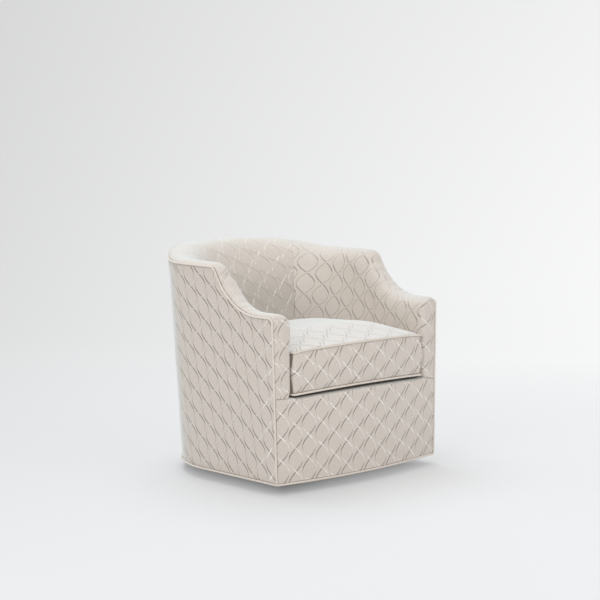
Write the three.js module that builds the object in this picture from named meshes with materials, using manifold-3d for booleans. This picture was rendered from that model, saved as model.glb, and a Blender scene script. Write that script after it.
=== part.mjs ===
// Upholstered barrel chair that swivels and rocks on a base hidden under its hem.
// Millimetres, +Z up, origin on the floor on the swivel axis, the sitter faces -Y.
import * as THREE from 'three';
import { mergeVertices } from 'three/addons/utils/BufferGeometryUtils.js';
import Module from 'manifold-3d';

const wasm = await Module();
wasm.setup();

// Clearances
const touchGap = 0.3;
const cutOverrun = 20;

// Outer shell: a straight-sided front and a barrel-shaped back, wider and deeper at the rim
const hemClearance = 33;
const rimHeight = 728;
const rimHalfWidth = 392.5;
const sideRake = 16.5;
const hemFront = 354;
const frontRake = 10;
const rimBack = 389;
const backRake = 44;
const hemBarrelDepth = 328;
const rimBarrelDepth = 312;
const frontBow = 37.5;

// Top line of the arms and back, measured at the top welt
const armHeight = 580;
const armLevelLength = 74;
const slopeReach = 230;
const slopeRise = 266;
const rimCornerRadius = 12;
const backRise = 34;
const backRiseStart = 140;

// Inside of the tub: upright behind the cushion, leaning back from there to the shoulders
const armThickness = 76.5;
const lumbarRise = 24;
const lumbarThickness = 231;
const lumbarBarrelDepth = 275;
const shoulderRise = 7;
const shoulderThickness = 96;
const shoulderBarrelDepth = 280;

// Padding and covers
const panelThickness = 2.4;
const padThickness = 18;
const crownPadThickness = 8;
const weltRadius = 3.4;
const weltProud = 4.4;
const armCrownRise = 11;
const backCrownRise = 13;
const armCrownInset = 14;
const backCrownInset = 33;
const armCrownDepth = 90;
const backCrownDepth = 55;
const crownSetback = 40;
const crownLeast = 1;
const crownWidth = 34;
const crownReachShare = 0.55;
const crownEdgeShare = 0.3;
const crownEdgeRiseShare = 0.85;
const frontPadEase = 6;
const borderThickness = 8;
const borderLip = 60;
const borderRise = 1.4;
const borderCrown = 5;
const borderCrownShare = 0.8;

// Timber frame
const timber = 22;
const frameFoot = 12;
const bottomRailHeight = 90;
const seatRailHeight = 60;
const seatRailTop = 290;
const armRailDrop = 36;
const postLength = 45;
const slatWidth = 44;
const slatTopWidth = 30;

// Seat
const deckThickness = 15;
const deckClearance = 2;
const springWire = 4;
const seatSpringShares = [-0.73, -0.21, 0.21, 0.73];
const seatSpringLoopLength = 56;
const seatSpringReach = 24;
const seatSpringBendShare = 1.25;
const cushionClearance = 10;
const cushionOverhang = 3;
const cushionBow = 20;
const cushionCornerRadius = 14;
const cushionSag = 16.1;
const cushionBorder = 135;
const cushionCrown = 34;
const cushionWeltRadius = 3.2;

// Rocker
const rockerSpread = 120;
const camRadius = 120;
const camHalfLength = 75;
const camWidth = 26;
const bedTop = 74;
const bedWidth = 36;
const bedHalfLength = 170;
const bedWall = 3;
const crossPlace = 105;
const crossDepth = 30;
const coilInset = 25;
const coilRadius = 15;
const coilWire = 5;
const coilTurns = 5;
const boardWidth = 90;

// Swivel bearing and base
const glideHeight = 3;
const glideRadius = 22;
const plinthRadius = 260;
const glideInset = 45;
const plinthThickness = 20;
const plinthChamfer = 3;
const raceRadius = 150;
const raceBore = 35;
const raceThickness = 3;
const raceLip = 6;
const ballRadius = 5;
const ballCount = 12;
const ballTrackInset = 20;
const cageHalfWidth = 11;
const cageThickness = 2;
const boltRadius = 8;
const boltHeadRadius = 14;
const boltHeadHeight = 6;
const nutHeight = 8;
const nutRadius = 14;
const nutRecessClearance = 8;
const nutRecessDepth = 12;
const nutTopClearance = 0.5;
const dustCoverThickness = 1;
const dustCoverClearance = 9;

// Fineness
const barrelSteps = 13;
const backSeamStep = 7;
const outsideSeamStep = 5;
const slopeSteps = 6;
const crownSteps = 5;
const borderSteps = 12;
const hemFrontSteps = 14;
const cushionFrontSteps = 4;
const cushionBackSteps = 8;
const holeSteps = 16;
const springBendSteps = 6;
const camSteps = 12;
const coilTurnSteps = 8;
const coilSides = 5;
const weltSides = 6;
const wireSides = 4;
const boltSides = 16;
const nutSides = 12;
const raceSides = 32;
const plinthSides = 48;
const glideSides = 16;
const ballSides = 8;
const ballRings = 6;
const halvings = 40;
const nearShare = 1e-3;
const mergeGap = 1e-4;

// Places that follow from the sizes above
const hemHalfWidth = rimHalfWidth - sideRake;
const rimFront = hemFront - frontRake;
const hemBack = rimBack - backRake;
const hemBarrelStart = hemBack - hemBarrelDepth;
const rimBarrelStart = rimBack - rimBarrelDepth;
const levelEnd = rimFront - armLevelLength;
const insideHalfWidth = rimHalfWidth - armThickness;
const lumbarBarrelStart = rimBack - lumbarThickness - lumbarBarrelDepth;
const shoulderBarrelStart = rimBack - shoulderThickness - shoulderBarrelDepth;
const shoulderHeight = rimHeight + shoulderRise;

// The deck lies on the seat springs, which lie on the seat rails
const deckBottom = seatRailTop + springWire + 2 * touchGap;
const deckTop = deckBottom + deckThickness;
const seamHeight = deckTop + borderRise;

// The cushion lies on the deck, and the inside of the tub leans back from just above its edge
const cushionBottom = deckTop + touchGap;
const cushionEdgeLow = cushionBottom + cushionSag;
const cushionEdgeHigh = cushionEdgeLow + cushionBorder;
const lumbarHeight = cushionEdgeHigh + lumbarRise;

const lerp = THREE.MathUtils.lerp;
const clamp = THREE.MathUtils.clamp;
const smooth = (x, low, high) => THREE.MathUtils.smoothstep(x, low, high);

// Plan of the outer face at a height: a straight side, then half of an ellipse round the back
function outerPlan(z) {
  const t = (z - hemClearance) / (rimHeight - hemClearance);
  return {
    half: lerp(hemHalfWidth, rimHalfWidth, t),
    front: lerp(hemFront, rimFront, t),
    start: lerp(hemBarrelStart, rimBarrelStart, t),
    depth: lerp(hemBarrelDepth, rimBarrelDepth, t),
  };
}

// A place on the wall. Station 0 is the back centre, 1 where the barrel meets the straight side and
// 2 the front corner, negative on the left. The place lies inset from the outer face, shifted
// towards the front along the wall.
function wallPoint(station, z, inset = 0, shift = 0) {
  const plan = outerPlan(z);
  const side = station < 0 ? -1 : 1;
  const along = Math.abs(station) + shift / (plan.front + plan.start);
  if (along >= 1) {
    const y = lerp(plan.start, -plan.front, along - 1);
    return new THREE.Vector3(side * (plan.half - inset), y, z);
  }
  const angle = (1 - along) * Math.PI / 2;
  const normal = new THREE.Vector2(Math.cos(angle) / plan.half, Math.sin(angle) / plan.depth).normalize();
  const x = plan.half * Math.cos(angle) - normal.x * inset;
  const y = plan.start + plan.depth * Math.sin(angle) - normal.y * inset;
  return new THREE.Vector3(side * x, y, z);
}

// Distance in from the outer face to the face that the sitter touches
function innerInset(station, z) {
  const t = Math.max(0, (z - lumbarHeight) / (shoulderHeight - lumbarHeight));
  const start = lerp(lumbarBarrelStart, shoulderBarrelStart, t);
  const depth = lerp(lumbarBarrelDepth, shoulderBarrelDepth, t);
  let low = 0;
  let high = insideHalfWidth;
  for (let i = 0; i < halvings; i += 1) {
    const inset = (low + high) / 2;
    const p = wallPoint(station, z, inset);
    const across = p.x / insideHalfWidth;
    const back = Math.max(0, (p.y - start) / depth);
    if (Math.hypot(across, back) > 1) {
      low = inset;
    } else {
      high = inset;
    }
  }
  return high;
}

// The slope from the arm to the rim is part of an ellipse
const slopeTurn = Math.acos(1 - (rimHeight - armHeight) / slopeRise);
const slopeEnd = -levelEnd + slopeReach * Math.sin(slopeTurn);

// Height of the top welt at a depth in the room
function topLine(y) {
  if (y <= -levelEnd) {
    return armHeight;
  }
  if (y < slopeEnd) {
    const share = (y + levelEnd) / slopeReach;
    return armHeight + slopeRise * (1 - Math.sqrt(1 - share * share));
  }
  return rimHeight + backRise * smooth(y, backRiseStart, rimBarrelStart + rimBarrelDepth);
}

// Stations from the front corner to the back centre, each with the height and slope of the top line
function makeStations() {
  const armFront = outerPlan(armHeight).front;
  const places = [[-armFront, armHeight], [-(armFront + levelEnd) / 2, armHeight]];
  const easeAngle = rimCornerRadius / slopeRise;
  for (let i = 0; i <= slopeSteps; i += 1) {
    const angle = (slopeTurn - easeAngle) * i / slopeSteps;
    places.push([-levelEnd + slopeReach * Math.sin(angle), armHeight + slopeRise * (1 - Math.cos(angle))]);
  }
  places.push([slopeEnd + rimCornerRadius / 8, rimHeight - rimCornerRadius / 4]);
  for (const share of [0, 1 / 3, 2 / 3]) {
    places.push([lerp(slopeEnd + rimCornerRadius, rimBarrelStart, share), rimHeight]);
  }
  const list = places.map(([y, top]) => {
    const plan = outerPlan(top);
    return { at: 1 + (plan.start - y) / (plan.start + plan.front), y, top };
  });
  for (let i = barrelSteps; i >= 0; i -= 1) {
    let top = rimHeight;
    for (let pass = 0; pass < 4; pass += 1) {
      top = topLine(wallPoint(i / barrelSteps, top).y);
    }
    list.push({ at: i / barrelSteps, y: wallPoint(i / barrelSteps, top).y, top });
  }
  const slopeOf = (a, b) => (a.at > 1 && b.at >= 1 ? Math.atan2(b.top - a.top, b.y - a.y) : 0);
  list.forEach((station, i) => {
    const before = slopeOf(list[Math.max(i - 1, 0)], list[Math.max(i, 1)]);
    const after = i + 1 < list.length ? slopeOf(station, list[i + 1]) : 0;
    station.slope = (before + after) / 2;
    station.mitre = 1 / Math.cos((before - after) / 2);
  });
  list[0].slope = 0;
  list[0].mitre = 1;
  return list;
}
const stations = makeStations();

// The same values between two stations
function stationAt(signed) {
  const at = Math.abs(signed);
  const last = stations.findIndex((s) => s.at <= at);
  const b = stations[last < 0 ? stations.length - 1 : last];
  const a = stations[Math.max(0, (last < 0 ? stations.length - 1 : last) - 1)];
  const t = a.at === b.at ? 0 : (a.at - at) / (a.at - b.at);
  return {
    at: signed,
    y: lerp(a.y, b.y, t),
    top: lerp(a.top, b.top, t),
    slope: lerp(a.slope, b.slope, t),
    mitre: lerp(a.mitre, b.mitre, t),
  };
}

// All stations between two places, given as signed numbers that may lie on both sides
function span(from, to, extra = []) {
  const all = [...stations.map((s) => -s.at), ...stations.slice(0, -1).map((s) => s.at), ...extra];
  const inside = all.filter((at) => at > from + nearShare && at < to - nearShare).sort((a, b) => a - b);
  return [from, ...inside, to].map(stationAt);
}
const sideLength = hemFront + hemBarrelStart;
const alongSide = (distance) => 2 - distance / sideLength;
const gapShare = touchGap / sideLength;
const backSeam = backSeamStep / barrelSteps;
const outsideSeam = outsideSeamStep / barrelSteps;

// A point of a section, a height above or below the top welt and square to it
function nearTop(station, inset, rise) {
  const length = rise * station.mitre;
  return [inset, station.top + length * Math.cos(station.slope), length * Math.sin(station.slope)];
}

// Closed bodies from points and triangles
function body(points, triangles) {
  let volume = 0;
  for (const [a, b, c] of triangles) {
    volume += points[a].dot(new THREE.Vector3().crossVectors(points[b], points[c]));
  }
  const order = volume < 0 ? triangles.map(([a, b, c]) => [a, c, b]) : triangles;
  const geometry = new THREE.BufferGeometry().setFromPoints(points);
  geometry.setIndex(order.flat());
  return geometry;
}

// Triangles over a flat outline, by cutting off one corner after another. It keeps points that lie
// on a straight edge, so that the faces beside it share them.
function capFaces(outline) {
  const area = (a, b, c) => (b.x - a.x) * (c.y - a.y) - (c.x - a.x) * (b.y - a.y);
  const clockwise = THREE.ShapeUtils.isClockWise(outline);
  const ring = outline.map((_, i) => i);
  if (clockwise) {
    ring.reverse();
  }
  const faces = [];
  while (ring.length > 2) {
    let best = null;
    for (let i = 0; i < ring.length; i += 1) {
      const corner = [ring[(i + ring.length - 1) % ring.length], ring[i], ring[(i + 1) % ring.length]];
      const [a, b, c] = corner.map((k) => outline[k]);
      const size = area(a, b, c);
      const clear = ring.every((k) => corner.includes(k)
        || area(a, b, outline[k]) < 0 || area(b, c, outline[k]) < 0 || area(c, a, outline[k]) < 0);
      const reach = Math.max(a.distanceTo(b), b.distanceTo(c), c.distanceTo(a));
      const shape = size / (reach * reach);
      if (clear && (!best || shape > best.shape)) {
        best = { i, corner, shape };
      }
    }
    faces.push(clockwise ? best.corner.reverse() : best.corner);
    ring.splice(best.i, 1);
  }
  return faces;
}

// Skin over sections with equal counts of points, capped by the flat outlines of the first and last
function loft(sections, outlines) {
  const count = sections[0].length;
  const triangles = [];
  for (let i = 0; i < sections.length - (outlines ? 1 : 0); i += 1) {
    const next = (i + 1) % sections.length;
    for (let j = 0; j < count; j += 1) {
      const k = (j + 1) % count;
      const [a, b, c, d] = [i * count + j, i * count + k, next * count + k, next * count + j];
      triangles.push([a, b, c], [a, c, d]);
    }
  }
  if (outlines) {
    const end = (sections.length - 1) * count;
    for (const [a, b, c] of capFaces(outlines[0])) {
      triangles.push([a, c, b]);
    }
    for (const [a, b, c] of capFaces(outlines[1])) {
      triangles.push([end + a, end + b, end + c]);
    }
  }
  return body(sections.flat(), triangles);
}

// A band of the wall: a section drawn as [inset, height, shift] at each station from one to another
function wallBand(from, to, sectionAt, extra = []) {
  const list = span(from, to, extra);
  const drawn = list.map(sectionAt);
  const sections = drawn.map((points, i) => points.map(([inset, z, shift]) => (
    wallPoint(list[i].at, z, inset, shift)
  )));
  const flat = (points) => points.map(([inset, z]) => new THREE.Vector2(inset, z));
  return loft(sections, [flat(drawn[0]), flat(drawn.at(-1))]);
}

// A round cord along points, with the direction of one side of its section at each
function sweep(path, sides, radius, count, closed = false) {
  const sections = path.map((point, i) => {
    const before = path[closed ? (i + path.length - 1) % path.length : Math.max(i - 1, 0)];
    const after = path[closed ? (i + 1) % path.length : Math.min(i + 1, path.length - 1)];
    const tangent = new THREE.Vector3().subVectors(after, before).normalize();
    const side = sides[i].clone().addScaledVector(tangent, -sides[i].dot(tangent)).normalize();
    const up = new THREE.Vector3().crossVectors(tangent, side);
    return Array.from({ length: count }, (_, j) => {
      const angle = 2 * Math.PI * j / count;
      return point.clone()
        .addScaledVector(side, radius * Math.cos(angle))
        .addScaledVector(up, radius * Math.sin(angle));
    });
  });
  const outline = sections[0].map((_, j) => new THREE.Vector2(
    Math.cos(2 * Math.PI * j / count),
    Math.sin(2 * Math.PI * j / count),
  ));
  return loft(sections, closed ? null : [outline, outline]);
}

function solidOf(geometry) {
  const bare = geometry.clone();
  bare.deleteAttribute('normal');
  bare.deleteAttribute('uv');
  const merged = mergeVertices(bare, mergeGap);
  return new wasm.Manifold(new wasm.Mesh({
    numProp: 3,
    vertProperties: new Float32Array(merged.attributes.position.array),
    triVerts: new Uint32Array(merged.index.array),
  }));
}

function geometryOf(solid) {
  const mesh = solid.getMesh();
  const geometry = new THREE.BufferGeometry();
  geometry.setAttribute('position', new THREE.BufferAttribute(new Float32Array(mesh.vertProperties), 3));
  geometry.setIndex(new THREE.BufferAttribute(new Uint32Array(mesh.triVerts), 1));
  return geometry;
}

function cut(whole, ...tools) {
  return geometryOf(tools.reduce((left, tool) => left.subtract(solidOf(tool)), solidOf(whole)));
}

function join(first, ...others) {
  return geometryOf(others.reduce((sum, piece) => sum.add(solidOf(piece)), solidOf(first)));
}

// A block between two corners
function block(low, high) {
  const size = new THREE.Vector3().subVectors(high, low);
  const middle = new THREE.Vector3().addVectors(low, high).multiplyScalar(0.5);
  return new THREE.BoxGeometry(size.x, size.y, size.z).translate(middle.x, middle.y, middle.z);
}

// A turned piece from its outline of [radius, height] points
function turned(outline, segments) {
  const points = [...outline, outline[0]].map(([r, z]) => new THREE.Vector2(r, z));
  return new THREE.LatheGeometry(points, segments).rotateX(Math.PI / 2);
}

function material(color, roughness, metalness = 0) {
  return new THREE.MeshStandardMaterial({ color, roughness, metalness });
}
const cloth = material('#c9c1b3', 0.85);
const timberFinish = material('#b98f5e', 0.7);
const steelFinish = material('#8d9094', 0.4, 0.9);
const darkSteel = material('#2a2a2c', 0.5, 0.6);
const plinthFinish = material('#19191b', 0.6);
const deckCloth = material('#d8d2c4', 0.9);
const dustCloth = material('#1d1d1f', 0.95);
const nylon = material('#e6e3da', 0.5);

const chair = new THREE.Group();
function add(name, geometry, finish) {
  const mesh = new THREE.Mesh(geometry, finish);
  mesh.name = name;
  chair.add(mesh);
}
const hands = [['left', -1], ['right', 1]];
const ends = [['front', -1], ['back', 1]];

// A piece drawn on the right, mirrored if it belongs on the left
function onHand(side, geometry) {
  if (side > 0) {
    return geometry;
  }
  const places = geometry.attributes.position;
  const points = Array.from({ length: places.count }, (_, i) => (
    new THREE.Vector3().fromBufferAttribute(places, i).multiply(new THREE.Vector3(-1, 1, 1))
  ));
  const order = geometry.index ? Array.from(geometry.index.array) : points.map((_, i) => i);
  const triangles = Array.from({ length: order.length / 3 }, (_, i) => order.slice(3 * i, 3 * i + 3));
  return body(points, triangles);
}

// Welts: on the top line, down the front corners and round the hem
const weltInset = weltRadius - weltProud;
const weltEdge = weltInset + weltRadius + touchGap;
const weltClear = weltRadius + touchGap;
const hemTop = hemClearance + 2 * weltRadius + touchGap;

const bowAt = (x, half) => frontBow * (1 - (x / half) ** 2);

function topWelt() {
  const list = span(-alongSide(-weltInset), alongSide(-weltInset));
  const path = list.map((s) => wallPoint(s.at, s.top, weltInset));
  const sides = list.map((s, i) => path[i].clone().sub(wallPoint(s.at, s.top, weltEdge)));
  return sweep(path, sides, weltRadius, weltSides);
}

function cornerWelt() {
  const path = [hemTop, armHeight - weltClear].map((z) => wallPoint(alongSide(-weltInset), z, weltInset));
  return sweep(path, path.map(() => new THREE.Vector3(1, 0, 0)), weltRadius, weltSides);
}

function hemWelt() {
  const z = hemClearance + weltRadius;
  const path = [];
  const half = outerPlan(z).half;
  for (const s of span(-alongSide(weltRadius), alongSide(weltRadius))) {
    path.push(wallPoint(s.at, z, weltInset));
  }
  for (let i = hemFrontSteps; i >= 0; i -= 1) {
    const x = lerp(-1, 1, i / hemFrontSteps) * (half - weltRadius);
    path.push(new THREE.Vector3(x, -outerPlan(z).front - bowAt(x, half) + weltInset, z));
  }
  return sweep(path, path.map(() => new THREE.Vector3(0, 0, 1)), weltRadius, weltSides, true);
}

// Outer covers: thin panels stretched over the frame
const outerPanel = (s) => [
  [0, hemTop],
  [0, (hemTop + armHeight) / 2],
  nearTop(s, 0, -weltClear),
  nearTop(s, panelThickness, -weltClear),
  [panelThickness, (hemTop + armHeight) / 2],
  [panelThickness, hemTop],
];

// The outline of the arm or back in section: inner face, roll over the crown, outer edge
function rollOutline(s, foot) {
  const share = smooth(s.top, armHeight, rimHeight);
  const depth = lerp(armCrownDepth, backCrownDepth, share);
  const slopeTop = Math.abs(s.at) > 1 ? topLine(s.y - crownSetback) : s.top;
  const shoulder = Math.max(slopeTop - depth, lumbarHeight + crownLeast);
  const inner = (z) => innerInset(s.at, z);
  const [crownInset, crownZ, crownShift] = nearTop(
    s,
    lerp(armCrownInset, backCrownInset, share),
    lerp(armCrownRise, backCrownRise, share),
  );
  const start = [inner(shoulder), shoulder, 0];
  const lean = (inner(shoulder) - inner(shoulder - padThickness)) / padThickness;
  const up = crownReachShare * (crownZ - shoulder);
  const curve = new THREE.CubicBezierCurve3(
    new THREE.Vector3(...start),
    new THREE.Vector3(start[0] + lean * up, start[1] + up, 0),
    new THREE.Vector3(lerp(crownInset, start[0], crownReachShare), crownZ, crownShift),
    new THREE.Vector3(crownInset, crownZ, crownShift),
  );
  const roll = curve.getPoints(crownSteps).map((p) => p.toArray());
  const edgeRise = lerp(armCrownRise, backCrownRise, share);
  return [
    [inner(foot), foot, 0],
    [inner(lumbarHeight), lumbarHeight, 0],
    ...roll,
    nearTop(s, lerp(weltEdge, crownInset, crownEdgeShare), edgeRise * crownEdgeRiseShare),
    nearTop(s, weltEdge, weltRadius),
  ];
}

// The room behind the padding, which the frame fills
function frameSpace(s, foot) {
  const share = smooth(s.top, armHeight, rimHeight);
  const outline = rollOutline(s, foot);
  const inner = outline.slice(0, 3).map(([inset, z]) => [inset - padThickness, z, 0]);
  inner[0][1] -= cutOverrun;
  return [
    ...inner,
    nearTop(s, crownWidth + share * crownPadThickness, -crownPadThickness),
    nearTop(s, -cutOverrun, -crownPadThickness),
    [-cutOverrun, foot - cutOverrun, 0],
  ];
}
const padFoot = deckBottom;
const borderBack = -outerPlan(seamHeight).front + borderLip + touchGap;

function insideArm() {
  const full = (s) => {
    const front = Math.abs(s.at) > alongSide(frontPadEase / 2);
    const ease = front ? frontPadEase : 0;
    const outline = rollOutline(s, seamHeight + touchGap);
    const middle = (outline[0][0] + weltEdge) / 2;
    const eased = outline.map(([inset, z, shift]) => [
      clamp(inset + Math.sign(middle - inset) * ease, weltEdge, Infinity),
      z > lumbarHeight ? z - ease : z,
      shift,
    ]);
    return [...eased, [weltEdge, seamHeight + touchGap, 0]];
  };
  const faceBlock = wallBand(alongSide(2 * frontPadEase), 2, full, [alongSide(frontPadEase)]);
  const arm = wallBand(backSeam + gapShare / 2, alongSide(frontPadEase), (s) => [
    ...rollOutline(s, padFoot),
    [weltEdge, padFoot, 0],
  ]);
  const space = wallBand(backSeam - 2 * gapShare, alongSide(padThickness), (s) => frameSpace(s, padFoot));
  const lip = block(
    new THREE.Vector3(-hemHalfWidth - cutOverrun, -hemFront - cutOverrun, padFoot - cutOverrun),
    new THREE.Vector3(hemHalfWidth + cutOverrun, borderBack, seamHeight + touchGap),
  );
  return cut(join(faceBlock, cut(arm, space)), lip);
}

function insideBack() {
  const reach = backSeam - gapShare / 2;
  const back = wallBand(-reach, reach, (s) => [...rollOutline(s, padFoot), [weltEdge, padFoot, 0]]);
  const space = wallBand(-reach - 2 * gapShare, reach + 2 * gapShare, (s) => frameSpace(s, padFoot));
  return cut(back, space);
}

// Front border: a bowed padded panel that rolls over the front seat rail and ends at the deck
function bowedBand(halfAt, low, high, near, far, lip = 0) {
  const sections = [];
  for (let i = 0; i <= borderSteps; i += 1) {
    const share = lerp(-1, 1, i / borderSteps);
    const place = (z, depth) => {
      const plan = outerPlan(z);
      const x = share * halfAt(z);
      return new THREE.Vector3(x, -plan.front - bowAt(x, plan.half) + depth, z);
    };
    const raise = lip ? borderCrown * Math.max(0, 1 - (share / borderCrownShare) ** 2) : 0;
    const top = high + raise;
    sections.push(lip ? [
      place(low, near),
      place((low + high) / 2, near),
      place(top - far, near),
      place(top - far / 4, near + far / 4),
      place(top, near + far),
      place(top, near + lip),
      place(top - far, near + lip),
      place(top - far, far),
      place((low + high) / 2, far),
      place(low, far),
    ] : [place(low, near), place(high, near), place(high, far), place(low, far)]);
  }
  const flat = (points) => points.map((p) => new THREE.Vector2(p.y, p.z));
  return loft(sections, [flat(sections[0]), flat(sections.at(-1))]);
}

function outsideArm() {
  const front = alongSide(weltRadius - weltInset + touchGap);
  return wallBand(outsideSeam + gapShare / 2, front, outerPanel);
}

function frontBorder() {
  const halfAt = (z) => outerPlan(z).half - weltEdge;
  const panel = bowedBand(halfAt, hemTop, seamHeight, 0, borderThickness, borderLip);
  const front = -outerPlan(seamHeight).front + borderThickness;
  const besideArm = block(
    new THREE.Vector3(insideHalfWidth, front, seamHeight - cutOverrun),
    new THREE.Vector3(hemHalfWidth + cutOverrun, borderBack + cutOverrun, seamHeight + cutOverrun),
  );
  return cut(panel, besideArm, onHand(-1, besideArm));
}

for (const [name, side] of hands) {
  add(`inside_${name}_arm`, onHand(side, insideArm()), cloth);
  add(`outside_${name}_arm`, onHand(side, outsideArm()), cloth);
  add(`${name}_front_welt`, onHand(side, cornerWelt()), cloth);
}
const outsideBackReach = outsideSeam - gapShare / 2;
add('inside_back', insideBack(), cloth);
add('outside_back', wallBand(-outsideBackReach, outsideBackReach, outerPanel), cloth);
add('front_border', frontBorder(), cloth);
add('top_welt', topWelt(), cloth);
add('bottom_welt', hemWelt(), cloth);

// Timber frame: rails and posts set in by the panel, each butted with a small gap
const frameInset = panelThickness + touchGap;
const frameBottom = hemClearance + frameFoot;
const bottomRailTop = frameBottom + bottomRailHeight;
const seatRailBottom = seatRailTop - seatRailHeight;
const postFront = alongSide(padThickness + touchGap);
const postBack = alongSide(padThickness + touchGap + postLength);
const backPostFront = 1 + postLength / sideLength;
const railTopOf = (s) => nearTop(s, 0, -crownPadThickness - 2 * touchGap);

const outerRail = () => [
  [frameInset, frameBottom],
  [frameInset + timber, frameBottom],
  [frameInset + timber, bottomRailTop],
  [frameInset, bottomRailTop],
];
const padBack = (s, z) => innerInset(s.at, z) - padThickness - touchGap;
const innerRail = (s) => [
  [padBack(s, seatRailBottom) - timber, seatRailBottom],
  [padBack(s, seatRailBottom), seatRailBottom],
  [padBack(s, seatRailTop), seatRailTop],
  [padBack(s, seatRailTop) - timber, seatRailTop],
];
const topRail = (s) => {
  const [, z, shift] = railTopOf(s);
  return [
    [frameInset, z, shift],
    [crownWidth, z, shift],
    [crownWidth, s.top - crownPadThickness - armRailDrop, 0],
    [frameInset, s.top - crownPadThickness - armRailDrop, 0],
  ];
};
const railUnderside = (s) => s.top - crownPadThickness - armRailDrop - touchGap;

const slatHalf = slatWidth / (Math.PI * rimBarrelDepth);
const frontPost = (s) => [
  [frameInset, frameBottom],
  [padBack(s, frameBottom), frameBottom],
  [padBack(s, lumbarHeight), lumbarHeight],
  [crownWidth, railUnderside(s)],
  [frameInset, railUnderside(s)],
];
const backPost = (s) => [
  [frameInset, frameBottom],
  [crownWidth, frameBottom],
  [crownWidth, railUnderside(s)],
  [frameInset, railUnderside(s)],
];
const backSlat = (s) => [
  [padBack(s, seatRailTop) - timber, seatRailTop + touchGap],
  [padBack(s, seatRailTop), seatRailTop + touchGap],
  [padBack(s, lumbarHeight), lumbarHeight],
  [crownWidth, railUnderside(s)],
  [frameInset, railUnderside(s)],
  [padBack(s, lumbarHeight) - timber - slatTopWidth, lumbarHeight],
];
const sideTimbers = {
  bottom_rail: wallBand(backPostFront + gapShare, postBack - gapShare, outerRail),
  seat_rail: wallBand(1 + gapShare, postBack - gapShare, innerRail),
  arm_rail: wallBand(1 + gapShare / 2, postFront, topRail),
  front_post: wallBand(postBack, postFront, frontPost),
  back_post: wallBand(1 + gapShare, backPostFront, backPost),
  back_slat: wallBand(outsideSeam - 2 * slatHalf, outsideSeam, backSlat),
};
for (const [name, side] of hands) {
  for (const [piece, geometry] of Object.entries(sideTimbers)) {
    add(`${name}_${piece}`, onHand(side, geometry), timberFinish);
  }
}
add('back_bottom_rail', wallBand(-1 + gapShare, 1 - gapShare, outerRail), timberFinish);
add('back_seat_rail', wallBand(-1 + gapShare, 1 - gapShare, innerRail), timberFinish);
add('back_top_rail', wallBand(-1 + gapShare / 2, 1 - gapShare / 2, topRail), timberFinish);
const betweenPosts = (z) => {
  const station = { at: postFront };
  return outerPlan(z).half - padBack(station, Math.min(z, lumbarHeight)) - touchGap;
};
const railDepth = borderThickness + touchGap;
for (const [name, low, high] of [
  ['front_bottom_rail', frameBottom, bottomRailTop],
  ['front_seat_rail', seatRailBottom, seatRailTop],
]) {
  add(name, bowedBand(betweenPosts, low, high, railDepth, railDepth + timber), timberFinish);
}

// Dust cover: a sheet stapled under the rails, cut out round the mechanism
function dustCover() {
  const top = frameBottom - touchGap;
  const hole = Math.hypot(bedHalfLength, rockerSpread + bedWidth / 2) + dustCoverClearance;
  const outline = [];
  for (const s of span(-alongSide(postLength / 4), alongSide(postLength / 4))) {
    outline.push(wallPoint(s.at, top, frameInset));
  }
  for (let i = borderSteps; i >= 0; i -= 1) {
    const plan = outerPlan(top);
    const x = lerp(-1, 1, i / borderSteps) * (plan.half - frameInset - postLength / 4);
    outline.push(new THREE.Vector3(x, -plan.front - bowAt(x, plan.half) + railDepth, top));
  }
  const shape = new THREE.Shape(outline.map((p) => new THREE.Vector2(p.x, p.y)));
  shape.holes.push(new THREE.Path().absarc(0, 0, hole, 0, 2 * Math.PI));
  const sheet = { depth: dustCoverThickness, bevelEnabled: false, curveSegments: holeSteps };
  return new THREE.ExtrudeGeometry(shape, sheet).translate(0, 0, top - dustCoverThickness);
}
add('dust_cover', dustCover(), dustCloth);

// Seat springs: flat zigzag wires from the front seat rail to the back seat rail
function insideDepth(x, widen) {
  const share = x / (insideHalfWidth + widen);
  return lumbarBarrelStart + (lumbarBarrelDepth + widen) * Math.sqrt(1 - share * share);
}
function seatSpring(place) {
  const z = seatRailTop + touchGap + springWire / 2;
  const plan = outerPlan(z);
  const front = -plan.front - bowAt(place, plan.half) + railDepth + timber / 2;
  const back = insideDepth(place, padThickness + touchGap) + timber / 2;
  const waves = Math.round((back - front) / seatSpringLoopLength);
  const path = [];
  const steps = springBendSteps * waves;
  for (let i = 0; i <= steps; i += 1) {
    const turn = 2 * Math.PI * i / springBendSteps;
    const swing = clamp(seatSpringBendShare * Math.sin(turn), -1, 1);
    path.push(new THREE.Vector3(place + seatSpringReach * swing, lerp(front, back, i / steps), z));
  }
  return sweep(path, path.map(() => new THREE.Vector3(0, 0, 1)), springWire / 2, wireSides);
}
seatSpringShares.forEach((share, i) => {
  add(`seat_spring_${i + 1}`, seatSpring(share * insideHalfWidth), steelFinish);
});

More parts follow.
